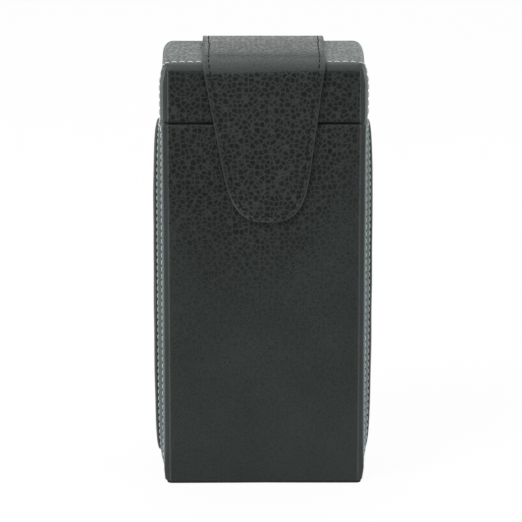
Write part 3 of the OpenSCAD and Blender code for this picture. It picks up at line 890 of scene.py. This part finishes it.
for side, label in ((-1, "left"), (1, "right")):
    side_wrap(side, label)
    side_pad(side, label)
    side_stitches(side, label)

# ---------------------------------------------------------------- body: base

BASE_INSET, BASE_ROUND = 0.1, 2.5


def base_panel():
    """Flat leather of the base, with its four corners rounded."""
    half_x = EDGE_X - foot_inset(np.array(BASE_T)) - BASE_INSET
    half_y = -FRONT_Y - BASE_INSET
    y = stations(-half_y, half_y, 4.0)
    past = np.clip(np.abs(y) - (half_y - BASE_ROUND), 0, BASE_ROUND)
    half = half_x - BASE_ROUND + np.sqrt(BASE_ROUND ** 2 - past ** 2)
    surface = flat_grid(half, stations(-1, 1, 0.1, 0.02), y[:, None], 0.0)
    leather_sheet("base_panel", surface, "case", smooth_leather, (0, 0, -1),
                  thickness=BASE_T, lip_radius=0.5, lip_share=0.3, replaces=["base_leather"])


base_panel()

# ---------------------------------------------------------------- back, across the hinge

HINGE_REACH, HINGE_CREASE, HINGE_CREASE_W = 4.5, 0.3, 0.9
CLOTH_T = 0.45
hinge_middle = (RIM_Z + LID_Z) / 2


def make_back_cover():
    """Leather of the back from the base up to the lid's top, pressed in where it bends as the hinge."""
    z = np.concatenate([stations(BASE_T + BASE_GAP, hinge_middle - 4, 3.0)[:-EDGE_POINTS],
                        np.linspace(hinge_middle - HINGE_REACH, hinge_middle + HINGE_REACH, 31),
                        stations(hinge_middle + 4, FOLD_Z, 2.0)[EDGE_POINTS:]])
    share = stations(-1, 1, 2.4 / PANEL_X, 0.9 / PANEL_X)
    surface = flat_grid(panel_half(z), share, -FRONT_Y, z[:, None])
    crease = groove(surface[..., 2] - hinge_middle, HINGE_CREASE, HINGE_CREASE_W)
    return leather_sheet("back_cover", surface, None, panel_leather, (0, 1, 0), dip=crease,
                         lip_radius=0.7, lip_share=0.75, grain=body_grain(surface[..., 2]),
                         replaces=["back_leather", "hinge_leather", "lid_back_leather"])


def make_hinge_cloth():
    """Cloth glued across the hinge on the inside."""
    low, high = corners("hinge_backing")
    z = np.linspace(low[2], high[2], 15)
    surface = flat_grid(np.ones(len(z)), np.linspace(low[0], high[0], 12), low[1], z[:, None])
    return leather_sheet("hinge_cloth", surface, None, ribbon_cloth, (0, -1, 0),
                         thickness=CLOTH_T, lip_radius=0.2, replaces=["hinge_backing"])


back_cover = make_back_cover()
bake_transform(back_cover)
hinge_cloth = make_hinge_cloth()
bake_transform(hinge_cloth)

# ---------------------------------------------------------------- lid wrap

LID_SIDE_W, LID_SIDE_D = LID_X - PANEL_X, 8.3
LID_HALF_Y = -FRONT_Y - BORDER_STEP
LID_IN_X = LID_X - WALL_T
TOP_ROUND = TOP_Z - FOLD_Z
ARCH_ROUND = TOP_ROUND + 0.6
TAPER_REACH, TAPER_DROP = 0.82, 0.42
LID_SEAM = 0.5
LID_PITCH, LID_STITCH, LID_THREAD = 3.4, 3.0, 0.46
STRAP_COVER = strap_high[0] - 0.6
arch = rounded_path([(-LID_IN_X, LID_Z), (-LID_X, LID_Z), (-LID_X, TOP_Z), (LID_X, TOP_Z), (LID_X, LID_Z),
                     (LID_IN_X, LID_Z)], [RIM_ROUND, ARCH_ROUND, ARCH_ROUND, RIM_ROUND], step=2.4, bend=8)


def arch_frame(arch):
    """Unit directions out of the arch, and the width and depth of the edge rounding at each of its points."""
    ahead = np.gradient(arch, axis=0)
    outward = np.stack([-ahead[:, 1], ahead[:, 0]], 1)
    outward /= np.linalg.norm(outward, axis=1, keepdims=True)
    upper = (arch[:, 1] > (LID_Z + FOLD_Z) / 2)[:, None]
    inward = np.where(upper, -outward, np.stack([-np.sign(arch[:, 0]), 0 * arch[:, 0]], 1))
    on_top = np.where(upper[:, 0], outward[:, 1] ** 2, 0)
    width = np.where(upper[:, 0], LID_SIDE_W + (TOP_ROUND - LID_SIDE_W) * on_top,
                     np.clip(np.abs(arch[:, 0]) - PANEL_X, 0, None))
    depth = LID_SIDE_D + (TOP_ROUND - LID_SIDE_D) * on_top
    return inward, width + PANEL_GAP, depth


def lid_point(arch, inward, width, depth, across):
    """Point of the lid's wrap.

    across runs from the front crease (0) round the front edge (to 1), over the top or along the side
    (to 2) and round the rear edge (to 3). Along the top the edge is a quarter ellipse; down the sides it is
    a shallow taper that ends in a short quarter round at the crease.
    """
    across = np.broadcast_to(across, arch.shape[:-1])
    bend = np.where(across <= 1, 1 - np.clip(across, 0, 1), np.clip(across - 2, 0, 1)) * np.pi / 2
    flat_y = (LID_HALF_Y - depth) * (2 * np.clip(across - 1, 0, 1) - 1)
    y = flat_y + np.where(across <= 1, -1, 1) * depth * np.sin(bend)
    run_in = np.clip((np.sin(bend) - TAPER_REACH) / (1 - TAPER_REACH), 0, 1)
    tapered = TAPER_DROP * np.sin(bend) ** 1.3 + (1 - TAPER_DROP) * (1 - np.sqrt(1 - run_in ** 2))
    upright = smooth(depth, TOP_ROUND, LID_SIDE_D)
    drawn_in = tapered * upright + (1 - np.cos(bend)) * (1 - upright)
    xz = arch + inward * (width * drawn_in)[..., None]
    return np.stack([xz[..., 0], y, xz[..., 1]], -1)


inward, width, depth = arch_frame(arch)
half_across = np.concatenate([np.linspace(0, 0.42, 12)[:-1], np.linspace(0.42, 1, 10)[:-1],
                              np.linspace(1, 1.5, 18)])
across = np.concatenate([half_across, 3 - half_across[-2::-1]])


def spread(values):
    """Repeats a value of each arch point across the lid."""
    return np.broadcast_to(values[:, None], (len(arch), len(across)) + values.shape[1:])


def softer_front(points):
    """Draws the sides' upper edges in towards the front, and lets the top fall slightly at both its ends.

    The top falls a little more at its two front corners.
    """
    x, y, z = np.moveaxis(points, -1, 0)
    inset = (smooth(z, TOP_Z - 10, TOP_Z - 3) * (1 - 0.7 * smooth(z, TOP_Z - 2, TOP_Z))
             * smooth(-y, -25, 20) * smooth(np.abs(x), LID_X - 8, LID_X - 3))
    fall = (0.15 * (y / FRONT_Y) ** 2 * smooth(z, TOP_Z - 1, TOP_Z)
            + 0.5 * smooth(np.abs(x), LID_X - 8, LID_X) * smooth(-y, 26, 35) * smooth(z, TOP_Z - 3, TOP_Z))
    return np.stack([x - np.sign(x) * inset, y, z - fall], -1)


def lid_wrap():
    """Leather of the lid's sides and top: lower in front of its seam, and pebbled away from its edges."""
    surface = softer_front(lid_point(spread(arch), spread(inward), spread(width), spread(depth), across))
    x, y, z = np.moveaxis(surface, -1, 0)
    past_seam = FRONT_Y + BORDER_STEP + depth[:, None] + LID_SEAM - y
    pebble = smooth(-FRONT_Y - np.abs(y), 3.0, 7.0) * smooth(z, LID_Z + 1, TOP_Z - 2)
    # Painted highlight along the top's front edge, given as crease.
    top_edge_highlight = smooth(z, TOP_Z - 5, TOP_Z - 2) * smooth(-y, 32.6, 33.6)
    leather_sheet("lid_wrap", surface, "lid", wrap_leather, (0, 0, 1),
                  dip=0.25 * smooth(past_seam, -0.5, 0.4) + 0.05 * ripple(x, y, period=25, seed=3),
                  grain=0.04 + 0.9 * pebble, lip_radius=0.4, lip_share=0.4, edge_wear_and_highlight=0.6, crease=0.12 * top_edge_highlight,
                  replaces=["lid_wrap_leather"])


def lid_seam():
    """Line of the seam round the lid, from rim to rim, and the leather's normals along it."""
    line = softer_front(lid_point(arch, inward, width, depth, 1 + LID_SEAM / (2 * (LID_HALF_Y - depth))))
    ahead = np.gradient(line, axis=0)
    up = np.cross(np.broadcast_to([0.0, 1.0, 0.0], ahead.shape), ahead)
    up /= np.linalg.norm(up, axis=1, keepdims=True)
    up *= np.sign(up[len(arch) // 2, 2])
    above_rim = line[:, 2] > LID_Z + 1.5
    proud = 0.3 * (1 - up[:, 2:] ** 2) - 0.2
    return (line + up * proud)[above_rim], up[above_rim]


def lid_stitches():
    """Stitches of the lid's seam, left out under the strap."""
    line, up = lid_seam()
    place = spaced_along(line)

    def under_strap(where):
        return np.abs(np.interp(where, place, line[:, 0])) < STRAP_COVER

    points, faces = stitch_row(line, up, LID_PITCH, LID_STITCH, LID_THREAD, rise=0.16, skip=under_strap,
                               slant=7)
    make_piece("lid_stitches", points, faces, "lid", pale_thread)


lid_wrap()
lid_stitches()


CORNER_CUT = (1.0, 0.7, 0.6)


def trimmed_board(name, node, body, trim):
    """The node's card with its outer corners cut back, so that they stay under the softer leather.

    Each point of the outside moves in along its own normal by trim, and the upper corners move in by
    CORNER_CUT more; the walls' inner faces stay.
    """
    work = bmesh.new()
    work.from_mesh(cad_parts[node].data)
    bmesh.ops.remove_doubles(work, verts=work.verts, dist=1e-6)
    mesh = bpy.data.meshes.new(name)
    work.to_mesh(mesh)
    work.free()
    points = mesh_points(mesh)
    normals = np.empty(points.size)
    mesh.vertex_normals.foreach_get("vector", normals)
    normals = normals.reshape(-1, 3)
    low, high = points.min(0), points.max(0)
    reach = np.minimum(points - low, high - points)
    outside = (reach[:, :2].min(1) < 2.0) | (reach[:, 2] < 1.0) & (points[:, 2] > high[2] - 1)
    away = ((points - (low + high) / 2) * normals).sum(1) > 0
    points -= normals * np.where(outside & away, trim, 0)[:, None]
    corner = (smooth(np.abs(points[:, 0]), high[0] - 6, high[0] - 1)
              * smooth(np.abs(points[:, 1]), high[1] - 12, high[1] - 5)
              * smooth(points[:, 2], high[2] - 14, high[2] - 7))
    points -= np.sign(points * [1, 1, 0] + [0, 0, 1]) * CORNER_CUT * corner[:, None]
    mesh.vertices.foreach_set("co", (points * MM).ravel())
    mesh.materials.clear()
    mesh.materials.append(board)
    piece = new_object(name, mesh)
    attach(piece, body)
    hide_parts(node)


trimmed_board("lid_board", "lid_shell", "lid", trim=0.6)

# ---------------------------------------------------------------- strap and tongue

STRAP_T = strap_high[2] - TOP_Z
LAYER = STRAP_T / 2
TONGUE_Y = tongue_low[1]
STRAP_END_Z = strap_low[2]
TIP_Z = tongue_low[2]
BACK_HALF, FRONT_HALF = strap_high[0], 26.0
TONGUE_TAPER, TONGUE_STRAIGHT, TONGUE_POWER = 0.16, 44.0, 3.1
TONGUE_LENGTH = TOP_Z - TIP_Z
SKEW = math.radians(1.6)
PIVOT_Z = 177.3
STRAP_LIFT, STRAP_CROWN, CROWN_Y = 0.15, 1.7, -4.0
BEND_EASE = 2.6
SEAM_INSET = 2.6
STRAP_PITCH, STRAP_STITCH, STRAP_THREAD, STRAP_SUNK = 3.0, 2.75, 0.6, 0.3
FOLD_FROM, FOLD_TO, FOLD_SLANT = -16.0, 4.5, 0.9
# How far the tongue's painted glints reach from its tip and from its edge.
GLINT_TIP_REACH, GLINT_EDGE_REACH = 17.0, 4.5


def eased(path, reach=3.5, step=0.1):
    """The same points with the line's bends eased: each becomes a weighted mean of the line within reach."""
    along = spaced_along(path)
    even = np.linspace(0, along[-1], int(along[-1] / step))
    weight = np.hanning(2 * int(reach / step) + 1)
    weight /= weight.sum()
    columns = [np.pad(np.interp(even, along, column), len(weight) // 2, mode="reflect", reflect_type="odd")
               for column in path.T]
    return np.stack([np.interp(along, even, np.convolve(column, weight, "valid")) for column in columns], 1)


def strap_path(depth):
    """Side view of a strap layer, depth under the strap's outer face: up the back, over the lid and down.

    Over the lid it rises in a shallow crown, of two half parabolas that meet at CROWN_Y, and its two bends
    are a little slacker than the lid's.
    """
    top = TOP_Z + STRAP_T + STRAP_LIFT - depth
    back, front = -FRONT_Y + STRAP_T - depth, TONGUE_Y + depth
    radius = TOP_ROUND + STRAP_T + BEND_EASE - depth
    path = rounded_path([(back, STRAP_END_Z), (back, top), (front, top), (front, TIP_Z)], [radius, radius],
                        step=1.4, bend=6, edge=1.2)
    reach = np.where(path[:, 0] > CROWN_Y, back - CROWN_Y, CROWN_Y - front)
    crown = 1 - np.clip((path[:, 0] - CROWN_Y) / reach, -1, 1) ** 2
    path[:, 1] += STRAP_CROWN * crown
    return eased(path)


def strap_run(path):
    """Distance along the strap, 0 above the lid's front face and growing down the tongue."""
    run = spaced_along(path)
    on_top = path[:, 1] > FOLD_Z
    return run - run[np.argmin(np.abs(path[:, 0] - FRONT_Y) + FAR * ~on_top)]


def strap_half(path):
    """Half width: an even taper over the lid, then the tongue's outline down to its superellipse end."""
    over_lid = FRONT_HALF + (BACK_HALF - FRONT_HALF) * np.clip((path[:, 0] - FRONT_Y) / (-2 * FRONT_Y), 0, 1)
    down = np.clip(TOP_Z - path[:, 1], 0, None)
    u = np.clip((down - TONGUE_STRAIGHT) / (TONGUE_LENGTH - TONGUE_STRAIGHT), 0, 1)
    tongue = (FRONT_HALF - TONGUE_TAPER * down) * bump(u, TONGUE_POWER)
    return np.where(path[:, 0] < 0, np.minimum(tongue, over_lid), over_lid)


def askew(x, y, z):
    """Turns the tongue a little about its pivot, more and more below the fold."""
    below = np.clip(PIVOT_Z - z, 0, None) * (y < 0)
    return x + math.tan(SKEW) * below


def strap_surface(path, half, share):
    """Grid of points of a strap layer, from its side view and its half width at each place."""
    x, y, z = np.moveaxis(flat_grid(half, share, path[:, :1], path[:, 1:]), -1, 0)
    return np.stack([askew(x, y, z), y, z], -1)


def ride_the_fold(piece):
    """Puts the piece's transform into its mesh."""
    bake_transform(piece)


def strap_piece(name, material, depth, groove_depth, replaces):
    """One layer of strap and tongue as a single leather; its tongue is turned askew about the fold.

    The pebble fades towards the fold and returns at a slanting line just below it. About the fold a
    painted highlight pales the leather, and painted glints pale its edge near the tip, more on the left.
    """
    path = strap_path(depth)
    half, run = strap_half(path), strap_run(path)[:, None]
    share = 0.75 * np.sin(np.linspace(-np.pi / 2, np.pi / 2, 57)) + 0.25 * np.linspace(-1, 1, 57)
    surface = strap_surface(path, half, share)
    x, y, z = surface[..., 0], path[:, :1], path[:, 1:]
    to_edge = half[:, None] * (1 - np.abs(share))
    to_end = np.minimum(np.where(y < 0, z - TIP_Z, FAR), np.where(y > 0, z - STRAP_END_Z, FAR))
    inside = np.minimum(to_edge, to_end)
    dip = groove(inside - SEAM_INSET, groove_depth, 0.4) + 0.05 * ripple(x, run, period=24, seed=7)
    line = FOLD_TO - FOLD_SLANT * smooth(x, -16, 24)
    fold = 0.22 * smooth(run, -70, -15) + 0.78 * smooth(run, FOLD_FROM, -1.5)
    fold = fold * (1 - smooth(run, line - 0.9, line))
    rough = (1 - 0.92 * fold) * smooth(inside, 0.2, 0.9)
    # Painted highlight where the strap bends over the lid's front edge.
    bend_highlight = (0.66 - 0.40 * smooth(run, -3, 3.5)) * smooth(run, -8, -3)
    bend_highlight = bend_highlight * (1 - smooth(run, line - 2.4, line + 1.2))
    # Painted glints along the tongue's edge near its tip, more on its left, and a stronger painted edge
    # highlight there.
    near_tip = smooth(TIP_Z + GLINT_TIP_REACH - z, 0, 12) * (y < 0)
    tip_edge_glints = near_tip * smooth(GLINT_EDGE_REACH - inside, 0, 4) * (0.35 + 0.65 * smooth(-x, -6, 12))
    piece = leather_sheet(name, surface, None, material, (0, 0, 1), thickness=LAYER, dip=dip,
                          grain=rough, lip_radius=0.5, lip_share=0.55, edge_wear_and_highlight=0.27 + 0.5 * near_tip,
                          crease=bend_highlight + 0.3 * tip_edge_glints, replaces=replaces)
    ride_the_fold(piece)


def strap_seam():
    """Line of the strap's seam and the strap's normals along it.

    In the strap laid flat, the seam is the outline moved in by the seam's distance along its own normal;
    it is then bent back on to the strap's side view.
    """
    path = strap_path(0)
    run, half = spaced_along(path), strap_half(path)
    outline = np.concatenate([[[0, 0]], np.stack([run, half], 1)])
    outline = even_line(outline, 0.1)
    ahead = np.gradient(outline, axis=0)
    ahead /= np.linalg.norm(ahead, axis=1, keepdims=True)
    inset = outline + SEAM_INSET * np.stack([ahead[:, 1], -ahead[:, 0]], 1)
    least = SEAM_INSET * 0.98
    inset = inset[(inset[:, 0] > least) & (inset[:, 1] > 0) & (inset[:, 0] < run[-1] - least)]
    inset = np.concatenate([[[inset[0, 0], 0]], inset, [[inset[-1, 0], 0]]])
    whole = even_line(np.concatenate([inset, inset[::-1] * [1, -1]]), 0.5)
    y, z = [np.interp(whole[:, 0], run, column) for column in path.T]
    way = np.gradient(path, axis=0)
    way /= np.linalg.norm(way, axis=1, keepdims=True)
    normal = np.stack([np.zeros(len(run)), -way[:, 1], way[:, 0]], 1)
    normal *= np.sign(normal[np.argmax(path[:, 1]), 2])
    normal = np.stack([np.interp(whole[:, 0], run, column) for column in normal.T], 1)
    return np.stack([askew(whole[:, 1], y, z), y, z], 1), normal


def strap_stitches():
    """Stitches all round the strap, sunk a little into its leather."""
    line, up = strap_seam()
    points, faces = stitch_row(line - STRAP_SUNK * up, up, STRAP_PITCH, STRAP_STITCH, STRAP_THREAD, rise=0.1)
    ride_the_fold(make_piece("strap_stitches", points, faces, None, black_thread))


strap_piece("strap", strap_leather, 0, 0.2, ["strap_leather", "flap_leather"])
strap_piece("strap_inner_leather", smooth_leather, LAYER, 0.0,
            ["strap_backing", "flap_backing"])
strap_stitches()

# ---------------------------------------------------------------- inside

def padded_block(low, high, across, lengthways, steps=25):
    """Closed cushion in a box, as a superellipsoid.

    A cube's grid is pushed out until, with y and z joined by the power across, the joined value and x
    make 1 by the power lengthways.
    """
    size, centre = (high - low) / 2, (high + low) / 2
    side = np.linspace(-1, 1, steps)
    a, b = np.meshgrid(side, side, indexing="ij")
    points, faces = [], []
    for axis in range(3):
        for way in (-1, 1):
            points.append(np.roll(np.stack([np.full_like(a, way), a, b], -1), axis, -1).reshape(-1, 3))
            faces.append(quads(steps, steps) + (len(points) - 1) * steps * steps)
    points = np.concatenate(points)
    joined = (np.abs(points[:, 1:]) ** across).sum(1) ** (1 / across)
    reach = (joined ** lengthways + np.abs(points[:, 0]) ** lengthways) ** (1 / lengthways)
    return centre + points / reach[:, None] * size, faces


def settle(piece):
    """Puts what the piece's modifiers make of it into its mesh, and takes the modifiers off."""
    graph = bpy.context.evaluated_depsgraph_get()
    piece.data = bpy.data.meshes.new_from_object(piece.evaluated_get(graph))
    piece.modifiers.clear()


def add_finer(piece):
    """Subdivides the piece once, in view and in render alike."""
    finer = piece.modifiers.new("finer", "SUBSURF")
    finer.levels = finer.render_levels = 1


def add_stuffing(piece, held, pressure):
    """Gives the piece a cloth that is blown up by a pressure while its held points stay."""
    sewn = piece.vertex_groups.new(name="sewn")
    sewn.add(np.flatnonzero(held).tolist(), 1.0, "ADD")
    cloth = piece.modifiers.new("stuffing", "CLOTH").settings
    cloth.vertex_group_mass = "sewn"
    cloth.use_pressure = True
    cloth.uniform_pressure_force = pressure
    cloth.effector_weights.gravity = 0
    cloth.mass = 0.1
    cloth.tension_stiffness = cloth.compression_stiffness = 5
    cloth.shear_stiffness = 2
    cloth.bending_stiffness = 0.3


def stuffed(piece, held, cell, pressure, most):
    """Stuffs a closed piece: it is remeshed into even cells and blown up as cloth whose held points stay.

    held tells from the points which ones are sewn down. No point moves further than most, and the result
    is fitted back into the box that the piece had.
    """
    box = mesh_points(piece.data)
    low, high = box.min(0), box.max(0)
    even = piece.modifiers.new("even", "REMESH")
    even.mode = "VOXEL"
    even.voxel_size = cell * MM
    settle(piece)
    before = mesh_points(piece.data)
    add_stuffing(piece, held(before), pressure)
    for step in range(1, STUFFING_STEPS + 1):
        bpy.context.scene.frame_set(step)
    settle(piece)
    bpy.context.scene.frame_set(1)
    piece.vertex_groups.clear()
    move = mesh_points(piece.data) - before
    length = np.linalg.norm(move, axis=1, keepdims=True)
    after = before + move * np.minimum(1, most / np.maximum(length, 1e-9))
    after = low + (after - after.min(0)) / (after.max(0) - after.min(0)) * (high - low)
    piece.data.vertices.foreach_set("co", (after * MM).ravel())
    piece.data.shade_smooth()
    add_finer(piece)


def ring_round(piece, x, middle, count=120):
    """Closed line on a cushion where a plane at x cuts it, found by rays from its axis."""
    tree = BVHTree.FromObject(piece, bpy.context.evaluated_depsgraph_get())
    angle = np.linspace(0, 2 * np.pi, count)
    ways = np.stack([0 * angle, np.cos(angle), np.sin(angle)], 1)
    start = Vector((x, middle[1], middle[2])) * MM
    hits = [tree.ray_cast(start, Vector(way))[0] for way in ways.tolist()]
    return np.array([list(hit) for hit in hits]) / MM


def tube(line, radius, sides=8):
    """Points and faces of a closed tube along a closed line in a plane of even x; its first and last meet."""
    line = line[:-1]
    ahead = np.roll(line, -1, 0) - np.roll(line, 1, 0)
    ahead /= np.linalg.norm(ahead, axis=1, keepdims=True)
    across = np.broadcast_to([1.0, 0, 0], line.shape)[:, None]
    outward = np.cross(ahead, across[:, 0])[:, None]
    angle = np.linspace(0, 2 * np.pi, sides, endpoint=False)[:, None]
    rings = line[:, None] + radius * (across * np.cos(angle) + outward * np.sin(angle))
    index = np.arange(len(line) * sides).reshape(len(line), sides)
    onward, ahead_ring = np.roll(index, -1, 1), np.roll(index, -1, 0)
    faces = np.stack([index, onward, np.roll(onward, -1, 0), ahead_ring], -1).reshape(-1, 4)
    return rings.reshape(-1, 3), [faces]


STUFFING_STEPS = 20
PIPING = 0.8
CUSHION_SHRINK, CUSHION_SEAM, HELD_WIDTH = 0.4, 0.8, 1.3
LID_SEAM_INSET, LID_HELD_WIDTH = 4.5, 0.8


def watch_cushions():
    """Three alike cushions, with piping round a seam near each end: one is stuffed, the others are copies."""
    low, high = corners("watch_cushion_middle")
    low, high = low + CUSHION_SHRINK, high - CUSHION_SHRINK
    seam_x = CUSHION_SEAM * (high - low)[0] / 2

    def on_seam(points):
        return np.abs(np.abs(points[:, 0]) - seam_x) < HELD_WIDTH

    points, faces = padded_block(low, high, across=3.0, lengthways=5.0)
    first_cushion = make_piece("cushion_middle", points, faces, "case", cushion_suede,
                               merge=SOFT_MERGE)
    stuffed(first_cushion, on_seam, cell=2.0, pressure=6.0, most=4.0)
    seams = [tube(ring_round(first_cushion, side * seam_x, (low + high) / 2), PIPING) for side in (-1, 1)]
    piping_points, piping_faces = join_rows(seams)
    for label in ("lower", "middle", "upper"):
        rise = (corners(f"watch_cushion_{label}")[0] - corners("watch_cushion_middle")[0]) * MM
        cushion = first_cushion
        if label != "middle":
            cushion = new_object(f"cushion_{label}", first_cushion.data.copy())
            cushion.data.transform(Matrix.Translation(rise.tolist()))
            add_finer(cushion)
            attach(cushion, "case")
        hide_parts(f"watch_cushion_{label}")
        make_piece(f"cushion_piping_{label}", piping_points + rise / MM, piping_faces, "case",
                   piping_suede)


def lid_cushion():
    """Flat cushion glued into the lid, with a seam all round inside its edge."""

    def on_seam_or_glued(points):
        to_edge = (pad_high - np.abs(points))[:, :2].min(1)
        glued = points[:, 2] > pad_high[2] - 1.0
        return glued | (np.abs(to_edge - LID_SEAM_INSET) < LID_HELD_WIDTH)

    points, faces = padded_block(pad_low + [0, 0, 0.1], pad_high, across=9.0, lengthways=9.0, steps=61)
    cushion = make_piece("lid_cushion", points, faces, "lid", cushion_suede,
                         merge=SOFT_MERGE)
    stuffed(cushion, on_seam_or_glued, cell=1.3, pressure=6.0, most=2.5)
    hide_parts("lid_pad")


watch_cushions()
lid_cushion()

# ---------------------------------------------------------------- stage, light and camera

CAMERA_DISTANCE = 1249.0
CAMERA_TILT = math.radians(12.11)
CAMERA_TURN = math.radians(0.4)
CAMERA_AIM = (-1.07, 0.0, 90.7)
CAMERA_LENS = 195.5


def background_rays(tree):
    """1 for rays that show the background: camera, glossy and transmission rays."""
    path = add(tree, "ShaderNodeLightPath").outputs
    bounced = calculate(tree, "MAXIMUM", path["Is Glossy Ray"], path["Is Transmission Ray"])
    return calculate(tree, "MAXIMUM", path["Is Camera Ray"], bounced)


def make_floor(size=6.0):
    """Large pale floor that keeps the object's soft shadow and is otherwise nearly plain white."""
    mesh = bpy.data.meshes.new("floor")
    mesh.from_pydata([(x * size, y * size, 0) for x, y in ((-1, -1), (1, -1), (1, 1), (-1, 1))], [],
                     [(0, 1, 2, 3)])
    material, tree, shader = new_material("floor_paper", 0.9, 0.1, colour=(0.9, 0.9, 0.9))
    white = add(tree, "ShaderNodeEmission", {"Color": (1, 1, 1, 1), "Strength": 1.0}).outputs[0]
    share = scaled(tree, background_rays(tree), 0.95)
    mixed = add(tree, "ShaderNodeMixShader", {0: share, 1: shader.outputs[0], 2: white}).outputs[0]
    tree.links.new(mixed, tree.nodes["Material Output"].inputs["Surface"])
    mesh.materials.append(material)
    new_object("floor", mesh)


def make_world():
    """Soft grey-white surroundings, plain white where they are seen or mirrored."""
    world = bpy.data.worlds.new("studio")
    world.use_nodes = True
    tree = world.node_tree
    tree.nodes.clear()
    soft = add(tree, "ShaderNodeBackground", {"Color": (1, 1, 1, 1), "Strength": 0.42}).outputs[0]
    white = add(tree, "ShaderNodeBackground", {"Color": (1, 1, 1, 1), "Strength": 1.0}).outputs[0]
    mixed = add(tree, "ShaderNodeMixShader", {0: background_rays(tree), 1: soft, 2: white}).outputs[0]
    tree.links.new(mixed, add(tree, "ShaderNodeOutputWorld").inputs["Surface"])
    bpy.context.scene.world = world


def area_light(name, place, aim, size, power, colour=(1, 1, 1)):
    """Square soft light at a place in metres, turned towards aim."""
    data = bpy.data.lights.new(name, "AREA")
    data.shape = "SQUARE"
    data.size = size
    data.energy = power
    data.color = colour
    light = new_object(name, data)
    light.location = place
    light.rotation_mode = "QUATERNION"
    light.rotation_quaternion = (Vector(aim) - Vector(place)).to_track_quat("-Z", "Y")


def make_camera():
    """Camera in front of the case and a little above it."""
    level = math.cos(CAMERA_TILT)
    ahead = Vector((math.sin(CAMERA_TURN) * level, math.cos(CAMERA_TURN) * level, -math.sin(CAMERA_TILT)))
    data = bpy.data.cameras.new("camera")
    data.lens = CAMERA_LENS
    data.sensor_width = 36.0
    data.clip_start, data.clip_end = 0.05, 50
    camera = new_object("camera", data)
    camera.location = Vector(CAMERA_AIM) * MM - ahead * CAMERA_DISTANCE * MM
    camera.rotation_mode = "QUATERNION"
    camera.rotation_quaternion = ahead.to_track_quat("-Z", "Y")
    bpy.context.scene.camera = camera


make_floor()
make_world()
area_light("key", (-0.9, -1.0, 1.5), (0, 0, 0.1), 0.7, 20)
area_light("fill", (1.2, -0.9, 0.8), (0, 0, 0.1), 0.9, 4)
area_light("top", (0.0, 0.5, 1.6), (0, 0, 0.15), 1.0, 10)
area_light("back", (0.0, 1.7, 0.62), (0, 0, 0.18), 1.0, 1.35, (0.88, 1.0, 0.88))
make_camera()
bpy.context.scene.view_settings.view_transform = "Standard"
